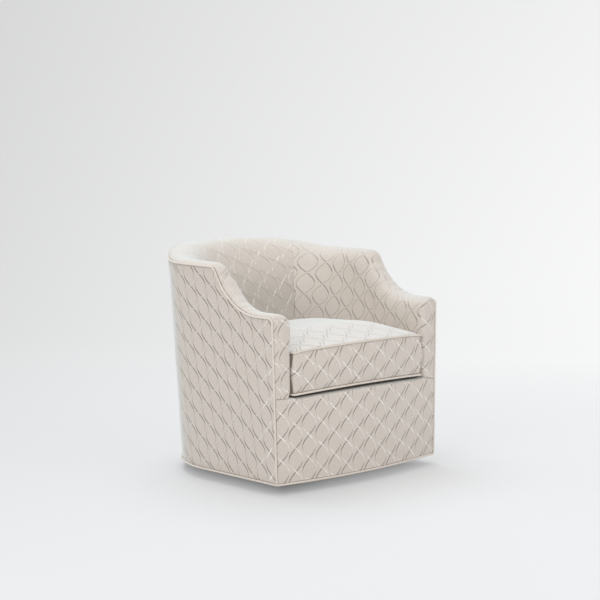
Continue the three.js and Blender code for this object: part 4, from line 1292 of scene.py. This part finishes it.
def trellis_group():
    g = Group(
        "ogee_trellis",
        [("Cloth", "Vector", None), ("Column", "Float", 0.054), ("Repeat", "Float", 0.079),
         ("Sway", "Float", 0.51), ("Line Width", "Float", 0.0026)],
        ["Line", "Lean", "Bow", "Open"],
    )
    cloth_x, cloth_y, _ = g.split(g.read("Cloth"))
    across = g.math("DIVIDE", cloth_x, g.read("Column"))
    column = g.math("ROUND", across)
    offset = g.math("SUBTRACT", across, column)
    odd = g.math("FLOORED_MODULO", column, 2.0)
    turn = g.math("DIVIDE", cloth_y, g.read("Repeat"))
    own = g.times(g.math("SUBTRACT", turn, g.times(odd, 0.5)), math.pi)
    other = g.math("SUBTRACT", own, math.pi / 2)
    distance = g.math("ABSOLUTE", offset)
    sway = g.times(g.read("Sway"), g.read("Column"))
    steep = g.math("DIVIDE", g.times(sway, math.pi), g.read("Repeat"))
    waves = []
    for phase, away, sign in ((own, distance, 1.0), (other, g.math("SUBTRACT", 1.0, distance), -1.0)):
        sine, cosine = g.math("SINE", phase), g.math("COSINE", phase)
        reach = g.times(g.math("ABSOLUTE", sine), sway)
        gap = g.math("ABSOLUTE", g.math("SUBTRACT", g.times(away, g.read("Column")), reach))
        slope = g.times(steep, cosine)
        gap = g.math("DIVIDE", gap, g.math("SQRT", g.math("ADD", 1.0, g.times(slope, slope))))
        hand = g.times(g.math("SIGN", offset), sign)
        lean = g.times(hand, g.times(g.math("SIGN", sine), cosine))
        waves.append((gap, lean, hand, g.math("ABSOLUTE", sine)))
    nearer = g.math("LESS_THAN", waves[0][0], waves[1][0])
    farther = g.math("SUBTRACT", 1.0, nearer)

    def choose(k):
        return g.math("ADD", g.times(waves[0][k], nearer), g.times(waves[1][k], farther))

    gap, lean = choose(0), choose(1)
    slant = g.math("ABSOLUTE", lean)
    width = g.times(g.read("Line Width"), g.math("ADD", line_least, g.times(slant, line_slanted)))
    beside = g.ramp(gap, g.times(width, line_core), g.times(width, line_edge))
    g.give("Line", g.math("SUBTRACT", 1.0, beside))
    g.give("Lean", lean)
    g.give("Bow", g.times(choose(2), g.math("SUBTRACT", 1.0, slant)))
    g.give("Open", g.ramp(choose(3), 0.0, point_opening))
    return g.tree


trellis = trellis_group()
print("trellis group has", len(trellis.nodes), "nodes")


# %% [markdown]
# The ground of the cloth is a tight plain weave. Near by it shows as crossing yarns, from a step away
# as a soft speckle, and it is never quite even in tone.

# %% The ground weave
def weave_group():
    g = Group(
        "ground_weave",
        [("Cloth", "Vector", None), ("Yarn", "Float", 0.0009), ("Slub", "Float", 0.5)],
        ["Height", "Speckle", "Drift", "Glimmer"],
    )
    cloth_x, cloth_y, _ = g.split(g.read("Cloth"))
    over = g.math("SINE", g.times(g.math("DIVIDE", cloth_x, g.read("Yarn")), math.pi))
    along = g.math("SINE", g.times(g.math("DIVIDE", cloth_y, g.read("Yarn")), math.pi))
    on_top = g.math("GREATER_THAN", g.times(over, along), 0.0)
    warp = g.times(g.math("ABSOLUTE", over), on_top)
    weft = g.times(g.math("ABSOLUTE", along), g.math("SUBTRACT", 1.0, on_top))
    slub = g.times(g.noise(g.read("Cloth"), 900.0, 3.0), g.read("Slub"))
    g.give("Height", g.math("ADD", g.math("ADD", warp, weft), slub))
    g.give("Speckle", g.ramp(g.noise(g.read("Cloth"), 250.0, 4.0), 0.34, 0.66))
    g.give("Drift", g.noise(g.read("Cloth"), 9.0, 3.0))
    g.give("Glimmer", g.ramp(g.noise(g.read("Cloth"), 70.0, 1.0), 0.40, 0.62))
    return g.tree


weave = weave_group()
print("weave group has", len(weave.nodes), "nodes")


# %% Materials: a small kit
class Finish(Nodes):
    def __init__(self, name, roughness, metallic=0.0, **plain):
        self.material = bpy.data.materials.new(name)
        self.material.use_nodes = True
        super().__init__(self.material.node_tree)
        self.shader = self.tree.nodes["Principled BSDF"]
        self.shader.inputs["Roughness"].default_value = roughness
        self.shader.inputs["Metallic"].default_value = metallic
        for label, value in plain.items():
            feed(self.tree, self.shader.inputs[label.replace("_", " ").title()], value)

    def cloth_place(self):
        node = self.add("UVMap")
        node.uv_map = "cloth"
        return node.outputs["UV"]

    def object_place(self):
        return self.add("TexCoord").outputs["Object"]

    def group(self, tree, place, **values):
        node = self.add("Group")
        node.node_tree = tree
        self.join(place, node.inputs[0])
        for label, value in values.items():
            node.inputs[label.replace("_", " ").title()].default_value = value
        return node.outputs

    def mark(self, name):
        node = self.add("Attribute")
        node.attribute_name = name
        return node.outputs["Fac"]

    def edge_on(self, low, high):
        seen = self.add("Fresnel")
        seen.inputs["IOR"].default_value = 1.45
        return self.ramp(seen.outputs[0], low, high, 1.0, 0.15)

    # Painted shade along the welts, fainter on the crowns.
    def seam_shade_line(self, depth):
        line = self.ramp(self.mark("seam"), 0.0007, 0.0030, depth, 0.0)
        return self.times(line, self.ramp(self.mark("crown"), 0.2, 0.7, 1.0, 0.4))

    def colour(self, value):
        self.join(value, self.shader.inputs["Base Color"])

    def rough(self, value):
        self.join(value, self.shader.inputs["Roughness"])

    def bump(self, height, strength, distance):
        node = self.add("Bump")
        node.inputs["Strength"].default_value = strength
        node.inputs["Distance"].default_value = distance
        self.join(height, node.inputs["Height"])
        self.join(node.outputs["Normal"], self.shader.inputs["Normal"])


# %% [markdown]
# ## Finishes of the cover
#
# One function makes every cover finish. The satin lines are woven into the cloth, but their shade and
# their glints are painted light: what differs is which slope of the satin is painted dark, which one
# gets a painted glint, and how the upright sides of the ovals look, so each face of the chair has its
# own lit or shaded copy of the finish. On the outside the falling lines are painted dark; on the front
# the rising lines are painted dark and the falling ones get a painted shine; on top of the cushion the
# lines only just show. A negative share turns a dark upright into a glint, and a glint below zero
# darkens the other slope.

# %% Cover finishes
cloth_tone = (0.612, 0.552, 0.496)
pale_tone = tuple(1.12 * c for c in cloth_tone)
deep_tone = tuple(0.80 * c for c in cloth_tone)
# Colours of the painted shade and the painted glints on the satin lines.
painted_line_shade_tone = (0.190, 0.160, 0.135)
painted_glint_tone = (0.960, 0.945, 0.910)
# Colour of the painted shade at the foot of the tub.
painted_hollow_shade = (0.215, 0.195, 0.160)
# Colour of the painted shade along the seams and on the welts.
painted_seam_shade = (0.16, 0.115, 0.085)
sheen_tone = (0.86, 0.97, 1.0)
speckle_share = 0.55
drift_share = 0.16
painted_hollow_shade_share = 0.44
front_from, front_to = -0.330, -0.250


def cover_finish(name, shaded_lean, dark, glint, left, right, column=0.0535, repeat=0.0775, on_crown=0.4,
                 line_width=0.0034, seam=0.75, steady=0.35, edge_glint=0.0,
                 painted_top_tone=(0.40, 0.42, 0.40), painted_top_share=0.18, by_welt=1.0):
    f = Finish(name, roughness=0.8, sheen_weight=0.85, sheen_roughness=0.32, sheen_tint=sheen_tone)
    place = f.cloth_place()
    lines = f.group(trellis, place, column=column, repeat=repeat, line_width=line_width)
    yarn = f.group(weave, place)
    line, lean, bow, is_open = (lines[k] for k in ("Line", "Lean", "Bow", "Open"))
    # The painted line shade and glints fade where the cloth is seen edge-on, on the crowns and near the
    # welts.
    edge_on = f.times(f.edge_on(0.07, 0.45), f.ramp(f.mark("crown"), 0.25, 0.8, 1.0, on_crown))
    edge_on = f.times(edge_on, f.ramp(f.mark("seam"), 0.012, 0.060, by_welt, 1.0))
    fade = f.math("ADD", steady, f.times(yarn["Glimmer"], 1.2 - steady))
    fade = f.times(fade, f.times(line, edge_on))

    def part(value, way):
        return f.math("MAXIMUM", f.times(value, way), 0.0)

    def total(slope, slope_share, sign):
        parts = f.times(slope, slope_share)
        for way, share in ((-1.0, left), (1.0, right)):
            if share * sign > 0:
                parts = f.math("ADD", parts, f.times(part(bow, way), abs(share)))
        return f.times(line, parts)

    # One slope of the satin lines gets painted shade, the other slope painted glints.
    dark_slope = f.ramp(part(lean, float(shaded_lean)), 0.03, 0.5)
    other_slope = part(lean, -float(shaded_lean))
    dark_parts = total(dark_slope, dark, 1)
    if glint < 0:
        dark_parts = f.math("ADD", dark_parts, f.times(line, other_slope, -glint))
    dark_share = f.times(dark_parts, is_open, edge_on)
    # Painted glints near the front edge of the sides.
    by_front = f.ramp(f.split(f.object_place())[1], front_from, front_to, edge_glint, 0.0)
    glint_share = f.times(total(other_slope, f.math("ADD", by_front, max(glint, 0.0)), -1), fade)
    tone = f.blend(f.times(yarn["Speckle"], speckle_share), pale_tone, deep_tone)
    tone = f.blend(f.times(yarn["Drift"], drift_share), tone, deep_tone)
    # Painted shade at the foot of the inside back and the inside arms.
    tone = f.blend(f.times(f.mark("hollow"), painted_hollow_shade_share), tone, painted_hollow_shade)
    # Painted top tone: up-facing cloth is greyed on most covers and made paler and cooler on the seat.
    tone = f.blend(f.ramp(f.mark("crown"), 0.4, 0.9, 0.0, painted_top_share), tone, painted_top_tone)
    # Painted shade on the satin lines, then painted glints.
    tone = f.blend(dark_share, tone, painted_line_shade_tone)
    tone = f.blend(glint_share, tone, painted_glint_tone)
    tone = f.blend(f.seam_shade_line(seam), tone, painted_seam_shade)
    f.colour(tone)
    f.rough(f.math("SUBTRACT", 0.84, f.times(line, 0.30)))
    f.bump(f.math("ADD", f.times(yarn["Height"], 0.5), f.times(line, 1.2)), 0.35, 0.0003)
    return f.material


# Lit and shaded copies of one cloth: each face of the chair gets its own painted line shade and glints.
side_finish = cover_finish("cover_side", -1, 0.84, 0.10, 0.74, 0.74,
                           column=0.050, repeat=0.078, edge_glint=0.6)
front_finish = cover_finish("cover_front", 1, 0.80, 0.58, 0.58, -0.30)
arm_front_finish = cover_finish("cover_arm_front", 1, 0.66, 0.55, 0.50, -0.30,
                                column=0.0525, repeat=0.079, seam=0.4)
inner_finish = cover_finish("cover_inner", -1, 0.32, 0.42, -0.50, 0.34,
                            column=0.0375, repeat=0.0765, steady=0.05)
inner_arm_finish = cover_finish("cover_inner_arm", -1, 0.62, -0.32, 0.45, 0.45,
                                column=0.0525, repeat=0.079, on_crown=0.28, seam=0.15, by_welt=0.4)
seat_finish = cover_finish("cover_seat", 1, 0.34, -0.40, 0.10, 0.10, on_crown=1.0, line_width=0.0056,
                           painted_top_tone=(0.66, 0.66, 0.655), painted_top_share=0.32)
print("cover finishes:", side_finish.name, front_finish.name, inner_finish.name, seat_finish.name)


# %% Welt, deck and dust cloth
welt_pale, welt_deep = (0.750, 0.675, 0.600), (0.56, 0.50, 0.43)
shaded_flank = -0.82


# One flank of the welt gets painted shade; the cushion's bottom welt has none.
def welt_finish(name, flank_shade_depth):
    f = Finish(name, roughness=0.84, sheen_weight=0.5, sheen_roughness=0.40)
    yarn = f.group(weave, f.cloth_place(), yarn=0.0008)
    tone = f.blend(f.times(yarn["Speckle"], 0.45), welt_pale, welt_deep)
    flank = f.math("SINE", f.math("DIVIDE", f.split(f.cloth_place())[1], welt_radius))
    flank_shade = f.times(f.math("LESS_THAN", flank, shaded_flank), flank_shade_depth)
    f.colour(f.blend(flank_shade, tone, painted_seam_shade))
    f.bump(yarn["Height"], 0.4, 0.0003)
    return f.material


def plain_cloth_finish(name, light, deep, yarn_size, roughness):
    f = Finish(name, roughness=roughness, sheen_weight=0.15, sheen_roughness=0.5)
    yarn = f.group(weave, f.cloth_place(), yarn=yarn_size)
    f.colour(f.blend(f.times(yarn["Speckle"], 0.6), light, deep))
    f.bump(yarn["Height"], 0.5, 0.0004)
    return f.material


welt_cloth = welt_finish("welt_cloth", 0.6)
welt_plain = welt_finish("welt_plain", 0.0)
deck_cloth = plain_cloth_finish("deck_cloth", (0.30, 0.26, 0.21), (0.20, 0.17, 0.135), 0.0012, 0.9)
dust_cloth = plain_cloth_finish("dust_cloth", (0.022, 0.022, 0.024), (0.010, 0.010, 0.011), 0.0009, 0.95)
print("plain cloths:", welt_cloth.name, welt_plain.name, deck_cloth.name, dust_cloth.name)

# %% [markdown]
# ## Finishes of the frame
#
# The timber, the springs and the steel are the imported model's own pieces. Timber gets a long grain,
# and steel gets fine brushing and a little wear.

# %% Grain and brushing
def streak_group():
    g = Group("streaks", [("Place", "Vector", None), ("Long", "Float", 3.0), ("Fine", "Float", 90.0)],
              ["Streak", "Patch"])
    stretch = g.add("VectorMath")
    stretch.operation = "MULTIPLY"
    g.join(g.read("Place"), stretch.inputs[0])
    scales = g.add("CombineXYZ")
    for axis, label in (("X", "Long"), ("Y", "Fine"), ("Z", "Fine")):
        g.join(g.read(label), scales.inputs[axis])
    g.join(scales.outputs[0], stretch.inputs[1])
    g.give("Streak", g.noise(stretch.outputs[0], 1.0, 5.0))
    g.give("Patch", g.noise(g.read("Place"), 14.0, 3.0))
    return g.tree


streaks = streak_group()


def streaked_finish(name, light, deep, roughness, metallic, long, fine, bump=0.15):
    f = Finish(name, roughness=roughness, metallic=metallic)
    streak = f.group(streaks, f.object_place(), long=long, fine=fine)
    f.colour(f.blend(streak["Streak"], deep, light))
    f.rough(f.math("ADD", roughness - 0.08, f.times(streak["Patch"], 0.16)))
    f.bump(streak["Streak"], bump, 0.0004)
    return f.material


frame_finishes = {}
for name, light, deep, *look in (
    ("frame_timber", (0.56, 0.38, 0.20), (0.36, 0.22, 0.10), 0.62, 0.0, 4.0, 80.0, 0.3),
    ("spring_steel", (0.50, 0.51, 0.53), (0.34, 0.35, 0.37), 0.38, 0.9, 60.0, 400.0),
    ("bearing_steel", (0.58, 0.58, 0.58), (0.44, 0.44, 0.44), 0.32, 0.9, 25.0, 300.0),
    ("mechanism_paint", (0.040, 0.040, 0.043), (0.022, 0.022, 0.024), 0.45, 0.2, 30.0, 60.0),
    ("plinth_paint", (0.018, 0.018, 0.019), (0.009, 0.009, 0.010), 0.55, 0.0, 6.0, 120.0, 0.2),
    ("glide_nylon", (0.78, 0.76, 0.70), (0.66, 0.64, 0.59), 0.45, 0.0, 40.0, 60.0),
):
    frame_finishes[name] = streaked_finish(name, light, deep, *look)
print("frame finishes:", *frame_finishes)


# %% [markdown]
# ## Marks on the covers
#
# Each cover carries three marks that its finish reads: how far a place is from the nearest welt, how
# much it faces up, and how deep it lies in the tub. They give the painted shade along the seams, the
# painted tone and fainter lines on the crowns, and the painted shade at the foot of the inside back
# and the inside arms.

# %% Mark the covers near their welts
mark_step = 0.0015
corner_shade_radius = 0.003
corner_shade_back = 0.006
back_hollow_z = (0.54, 0.76)
back_hollow_x = (-0.28, -0.05)
arm_hollow_z = (0.47, 0.66)
arm_hollow_y = (-0.10, 0.20)


# Painted shade: darker towards the seat on the inside back and the inside arms.
def painted_hollow_shade_of(piece, points):
    x, y, z = points.T
    if piece == back_cover:
        return (1 - ease(z, *back_hollow_z)) * mix(0.35, 1, ease(x, *back_hollow_x))
    if piece in inside_arms.values():
        return (1 - ease(z, *arm_hollow_z)) * ease(y, *arm_hollow_y)
    return np.zeros(len(points))


def mark_cover(piece, paths):
    points = mesh_points(piece)
    nearest = np.full(len(points), 1.0)
    for path, radius in paths:
        tree = KDTree(len(path))
        for k, place in enumerate(path):
            tree.insert(place, k)
        tree.balance()
        nearest = np.minimum(nearest, [tree.find(p)[2] - radius for p in points])
    crown = np.array([vertex.normal.z for vertex in piece.data.vertices])
    for name, values in (("seam", nearest), ("crown", crown), ("hollow", painted_hollow_shade_of(piece, points))):
        layer = piece.data.attributes.new(name, "FLOAT", "POINT")
        layer.data.foreach_set("value", values.astype(np.float32))


def fine(path, closed=False):
    path = np.concatenate([path, path[:1]]) if closed else path
    length = run_length(path)
    wanted = np.arange(0, length[-1], mark_step)
    return np.stack([np.interp(wanted, length, column) for column in path.T], axis=-1)


shell_seams = [(fine(welt_path), welt_radius), (fine(hem_path, True), welt_radius)]
cushion_seams_and_corners = [(fine(path, True), cushion_welt_radius) for path in cushion_paths]
# A painted shade line also runs up each front corner of the cushion, in the gap beside the arm.
for _, side in hands:
    corner_x, corner_y = side * cushion_half, -hem_front + corner_shade_back
    ends = np.array([(corner_x, corner_y, height) for height in (cushion_low, cushion_high)])
    cushion_seams_and_corners.append((fine(ends), corner_shade_radius))
shell_covers = (*inside_arms.values(), *outside_arms.values(), back_cover, outside_back, border)
for piece in shell_covers:
    mark_cover(piece, shell_seams)
mark_cover(cushion, cushion_seams_and_corners)
print("marked", len(shell_covers) + 1, "covers")


# %% Give each piece its finish
front_face_y = -0.30
front_face_turn = -0.55
lip_depth = 0.004
lip_front = border_round + 0.016


def wear(piece, *materials):
    # An empty list isn't cleared, because that would put every face back to the first material.
    if piece.data.materials:
        piece.data.materials.clear()
    for material in materials:
        piece.data.materials.append(material)


def on_the_lip(place):
    _, front, _, _ = outer_plan(seam_height)
    return place.z > seam_height - lip_depth and place.y > lip_front - front - bow(place.x, hem_half)


for piece in inside_arms.values():
    wear(piece, inner_arm_finish, arm_front_finish)
    for face in piece.data.polygons:
        face.material_index = int(face.center.y < front_face_y and face.normal.y < front_face_turn)
wear(back_cover, inner_finish)
for piece in (*outside_arms.values(), outside_back):
    wear(piece, side_finish)
# The back of the front border, under the cushion, wears the dark deck cloth; its darkness also paints the
# shade in the gap under the cushion.
wear(border, front_finish, deck_cloth)
for face in border.data.polygons:
    face.material_index = int(on_the_lip(face.center))
wear(cushion, seat_finish, front_finish)
for piece in (shell_welt, bottom_welt, cushion_welts["top"]):
    wear(piece, welt_cloth)
wear(cushion_welts["bottom"], welt_plain)
wear(deck_piece, deck_cloth)
wear(dust_piece, dust_cloth)
wear(plinth, frame_finishes["plinth_paint"])
for coil in coils.values():
    wear(coil, frame_finishes["spring_steel"])
lip_faces = sum(face.material_index for face in border.data.polygons)
print("faces of the front border under the cushion:", lip_faces)

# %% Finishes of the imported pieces
finish_words = (
    ("mechanism_paint", ("bed_rail", "bed_cross", "cam")),
    ("frame_timber", ("rail", "post", "slat", "board")),
    ("spring_steel", ("spring", "coil")),
    ("glide_nylon", ("glide",)),
    ("bearing_steel", ("race", "cage", "pivot")),
)
worn = 0
for name, node in nodes.items():
    fitting = [finish for finish, words in finish_words if any(word in name for word in words)]
    if fitting:
        wear(node, frame_finishes[fitting[0]])
        worn += 1
print("packed pieces with a finish:", worn)

# %% [markdown]
# ## What each piece stands for
#
# Every new piece rides on the body it belongs to and stands for the plain solid it replaces, which
# is hidden.

# %% Riding and replacing
def stands_for(piece, body, slot, *replaced):
    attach(piece, body)
    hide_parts(*replaced)


padded_covers = []
for hand, _ in hands:
    padded_covers.append((inside_arms[hand], 0.8, f"inside_{hand}_arm"))
    padded_covers.append((outside_arms[hand], 1.0, f"outside_{hand}_arm"))
padded_covers.append((back_cover, 0.8, "inside_back"))
padded_covers.append((outside_back, 1.0, "outside_back"))
padded_covers.append((border, 0.8, "front_border"))
for piece, fill, solid in padded_covers:
    stands_for(piece, "chair", "cover", solid)
stands_for(shell_welt, "chair", "welt", "top_welt", "left_front_welt", "right_front_welt")
stands_for(bottom_welt, "chair", "welt", "bottom_welt")
stands_for(cushion, "cushion", "cover", "seat_cushion")
for place, piece in cushion_welts.items():
    stands_for(piece, "cushion", "welt", f"cushion_{place}_welt")
stands_for(deck_piece, "chair", "deck_cloth", "deck_pad")
stands_for(dust_piece, "chair", "dust_cloth", "dust_cover")
stands_for(plinth, "base", "plinth", "base_plinth")
for key, coil in coils.items():
    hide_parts(f"{key}_coil")
    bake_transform(coil)
print("soft pieces:", len(padded_covers) + 3, "and blended springs:", len(coils))

# %% [markdown]
# ## The room and the light
#
# A pale floor runs up into a pale backdrop. The light is broad and soft, and brightest from above, so
# the tops of the arms and the cushion are the lightest places and the foot of the tub is the darkest;
# the covers add painted shade at the foot of the tub and a painted tone on the tops.

# %% Floor and backdrop
floor_half = 9.0
floor_end = 3.0
wall_turn = 2.5
wall_top = 7.0


def turned_to_camera(x, y):
    cosine, sine = math.cos(camera_turn), math.sin(camera_turn)
    return x * cosine - y * sine, x * sine + y * cosine


def studio_floor():
    rows = [(y, 0.0) for y in np.linspace(-floor_half, floor_end, 25)]
    for turn in np.linspace(0, np.pi / 2, 17)[1:]:
        rows.append((floor_end + wall_turn * math.sin(turn), wall_turn * (1 - math.cos(turn))))
    rows += [(floor_end + wall_turn, z) for z in np.linspace(wall_turn, wall_top, 8)[1:]]
    across = np.linspace(-floor_half, floor_half, 19)
    points = [(*turned_to_camera(x, y), z) for y, z in rows for x in across]
    mesh = bpy.data.meshes.new("studio_floor")
    mesh.from_pydata(points, [], grid_faces(len(rows), len(across), flip=True))
    mesh.polygons.foreach_set("use_smooth", [True] * len(mesh.polygons))
    floor = bpy.data.objects.new("studio_floor", mesh)
    bpy.context.scene.collection.objects.link(floor)
    return floor


floor = studio_floor()
print("floor faces:", len(floor.data.polygons))


# %% [markdown]
# The paint of the room gets lighter from left to right, painted light that stands in for more light
# falling from the right, and a share of what the camera sees of it is even glow, so the backdrop stays
# pale. Under the chair the glow ends, which paints the floor there darker as a contact shadow on top
# of its real shadow. Far from the chair the paint passes into the colour of the world, so no edge of
# the room shows.

# %% Studio paint
horizon_tone = (0.80, 0.80, 0.805)
sky_tone = (0.68, 0.68, 0.68)
# The room's tones get lighter to the right: painted light standing in for more light from the right.
floor_tones = ((0.60, 0.60, 0.600), (0.77, 0.77, 0.77))
near_tones = ((0.70, 0.70, 0.703), (0.92, 0.92, 0.925))
low_tones = ((0.705, 0.705, 0.708), (1.06, 1.06, 1.06))
high_tones = ((0.700, 0.700, 0.705), (0.920, 0.920, 0.925))
painted_shadow_under_chair = (0.17, 0.37)
floor_glow, wall_glow = 0.34, 0.44
side_edge, near_edge = (2.2, 6.0), (1.9, 5.0)


def studio_paint():
    f = Finish("studio_paint", roughness=0.7)
    place = f.object_place()
    x, y, z = f.split(place)

    def along(direction):
        dot = f.add("VectorMath")
        dot.operation = "DOT_PRODUCT"
        f.join(place, dot.inputs[0])
        dot.inputs[1].default_value = (*direction, 0)
        return dot.outputs["Value"]

    rightward, backward = along(turned_to_camera(1, 0)), along(turned_to_camera(0, 1))
    to_the_right = f.ramp(rightward, -2.6, 2.6, kind="LINEAR")
    to_the_back = f.ramp(backward, -0.6, 2.4, kind="LINEAR")
    up_the_wall = f.ramp(z, 0.2, 3.2, kind="LINEAR")
    f.colour(f.blend(to_the_right, *floor_tones))
    high, low, near = (f.blend(to_the_right, *tones) for tones in (high_tones, low_tones, near_tones))
    glow = f.add("Emission")
    f.join(f.blend(to_the_back, near, f.blend(up_the_wall, low, high)), glow.inputs["Color"])
    ray = f.add("LightPath").outputs
    mirrored = f.math("MAXIMUM", ray["Is Glossy Ray"], ray["Is Transmission Ray"])
    seen = f.math("MAXIMUM", ray["Is Camera Ray"], mirrored)
    # The glow ends under the chair, painting the floor there darker as a contact shadow.
    from_middle = f.math("MAXIMUM", f.math("ABSOLUTE", x), f.math("ABSOLUTE", y))
    glow_share = f.math("ADD", f.ramp(from_middle, *painted_shadow_under_chair, 0.0, floor_glow),
                        f.times(to_the_back, wall_glow))
    aside = f.ramp(f.math("ABSOLUTE", rightward), *side_edge)
    away = f.math("MAXIMUM", aside, f.ramp(f.times(backward, -1.0), *near_edge))
    air = f.add("Emission")
    feed(f.tree, air.inputs["Color"], horizon_tone)
    surface = f.shader.outputs[0]
    for share, second in ((f.times(seen, glow_share), glow), (f.times(ray["Is Camera Ray"], away), air)):
        layer = f.add("MixShader")
        f.join(share, layer.inputs[0])
        f.join(surface, layer.inputs[1])
        f.join(second.outputs[0], layer.inputs[2])
        surface = layer.outputs[0]
    f.join(surface, f.tree.nodes["Material Output"].inputs["Surface"])
    return f.material


wear(floor, studio_paint())
world = bpy.data.worlds.new("studio")
bpy.context.scene.world = world
world.use_nodes = True
sky = Nodes(world.node_tree)
sky_colour = sky.blend(sky.add("LightPath").outputs["Is Camera Ray"], sky_tone, horizon_tone)
sky.join(sky_colour, world.node_tree.nodes["Background"].inputs["Color"])
print("world:", sky_tone, "as light and", horizon_tone, "as seen")


# %% Lamps
def soft_light(name, place, aim, size, power, tint=(1.0, 1.0, 1.0)):
    data = bpy.data.lights.new(name, "AREA")
    data.color = tint
    data.shape = "DISK"
    data.size = size
    data.energy = power
    lamp = bpy.data.objects.new(name, data)
    lamp.location = place
    lamp.rotation_euler = (Vector(aim) - Vector(place)).to_track_quat("-Z", "Y").to_euler()
    bpy.context.scene.collection.objects.link(lamp)


soft_light("overhead", (0.3, 1.6, 4.2), (0, 0, 0.3), 3.5, 112, (0.91, 0.985, 1.05))
soft_light("window_left", (-3.3, -1.0, 2.1), (0, 0, 0.4), 2.4, 39)
soft_light("window_front", (0.5, -3.5, 1.6), (0, 0, 0.4), 2.4, 26)
print("lamps:", len(bpy.data.lights))
bpy.context.scene.view_settings.view_transform = "Standard"
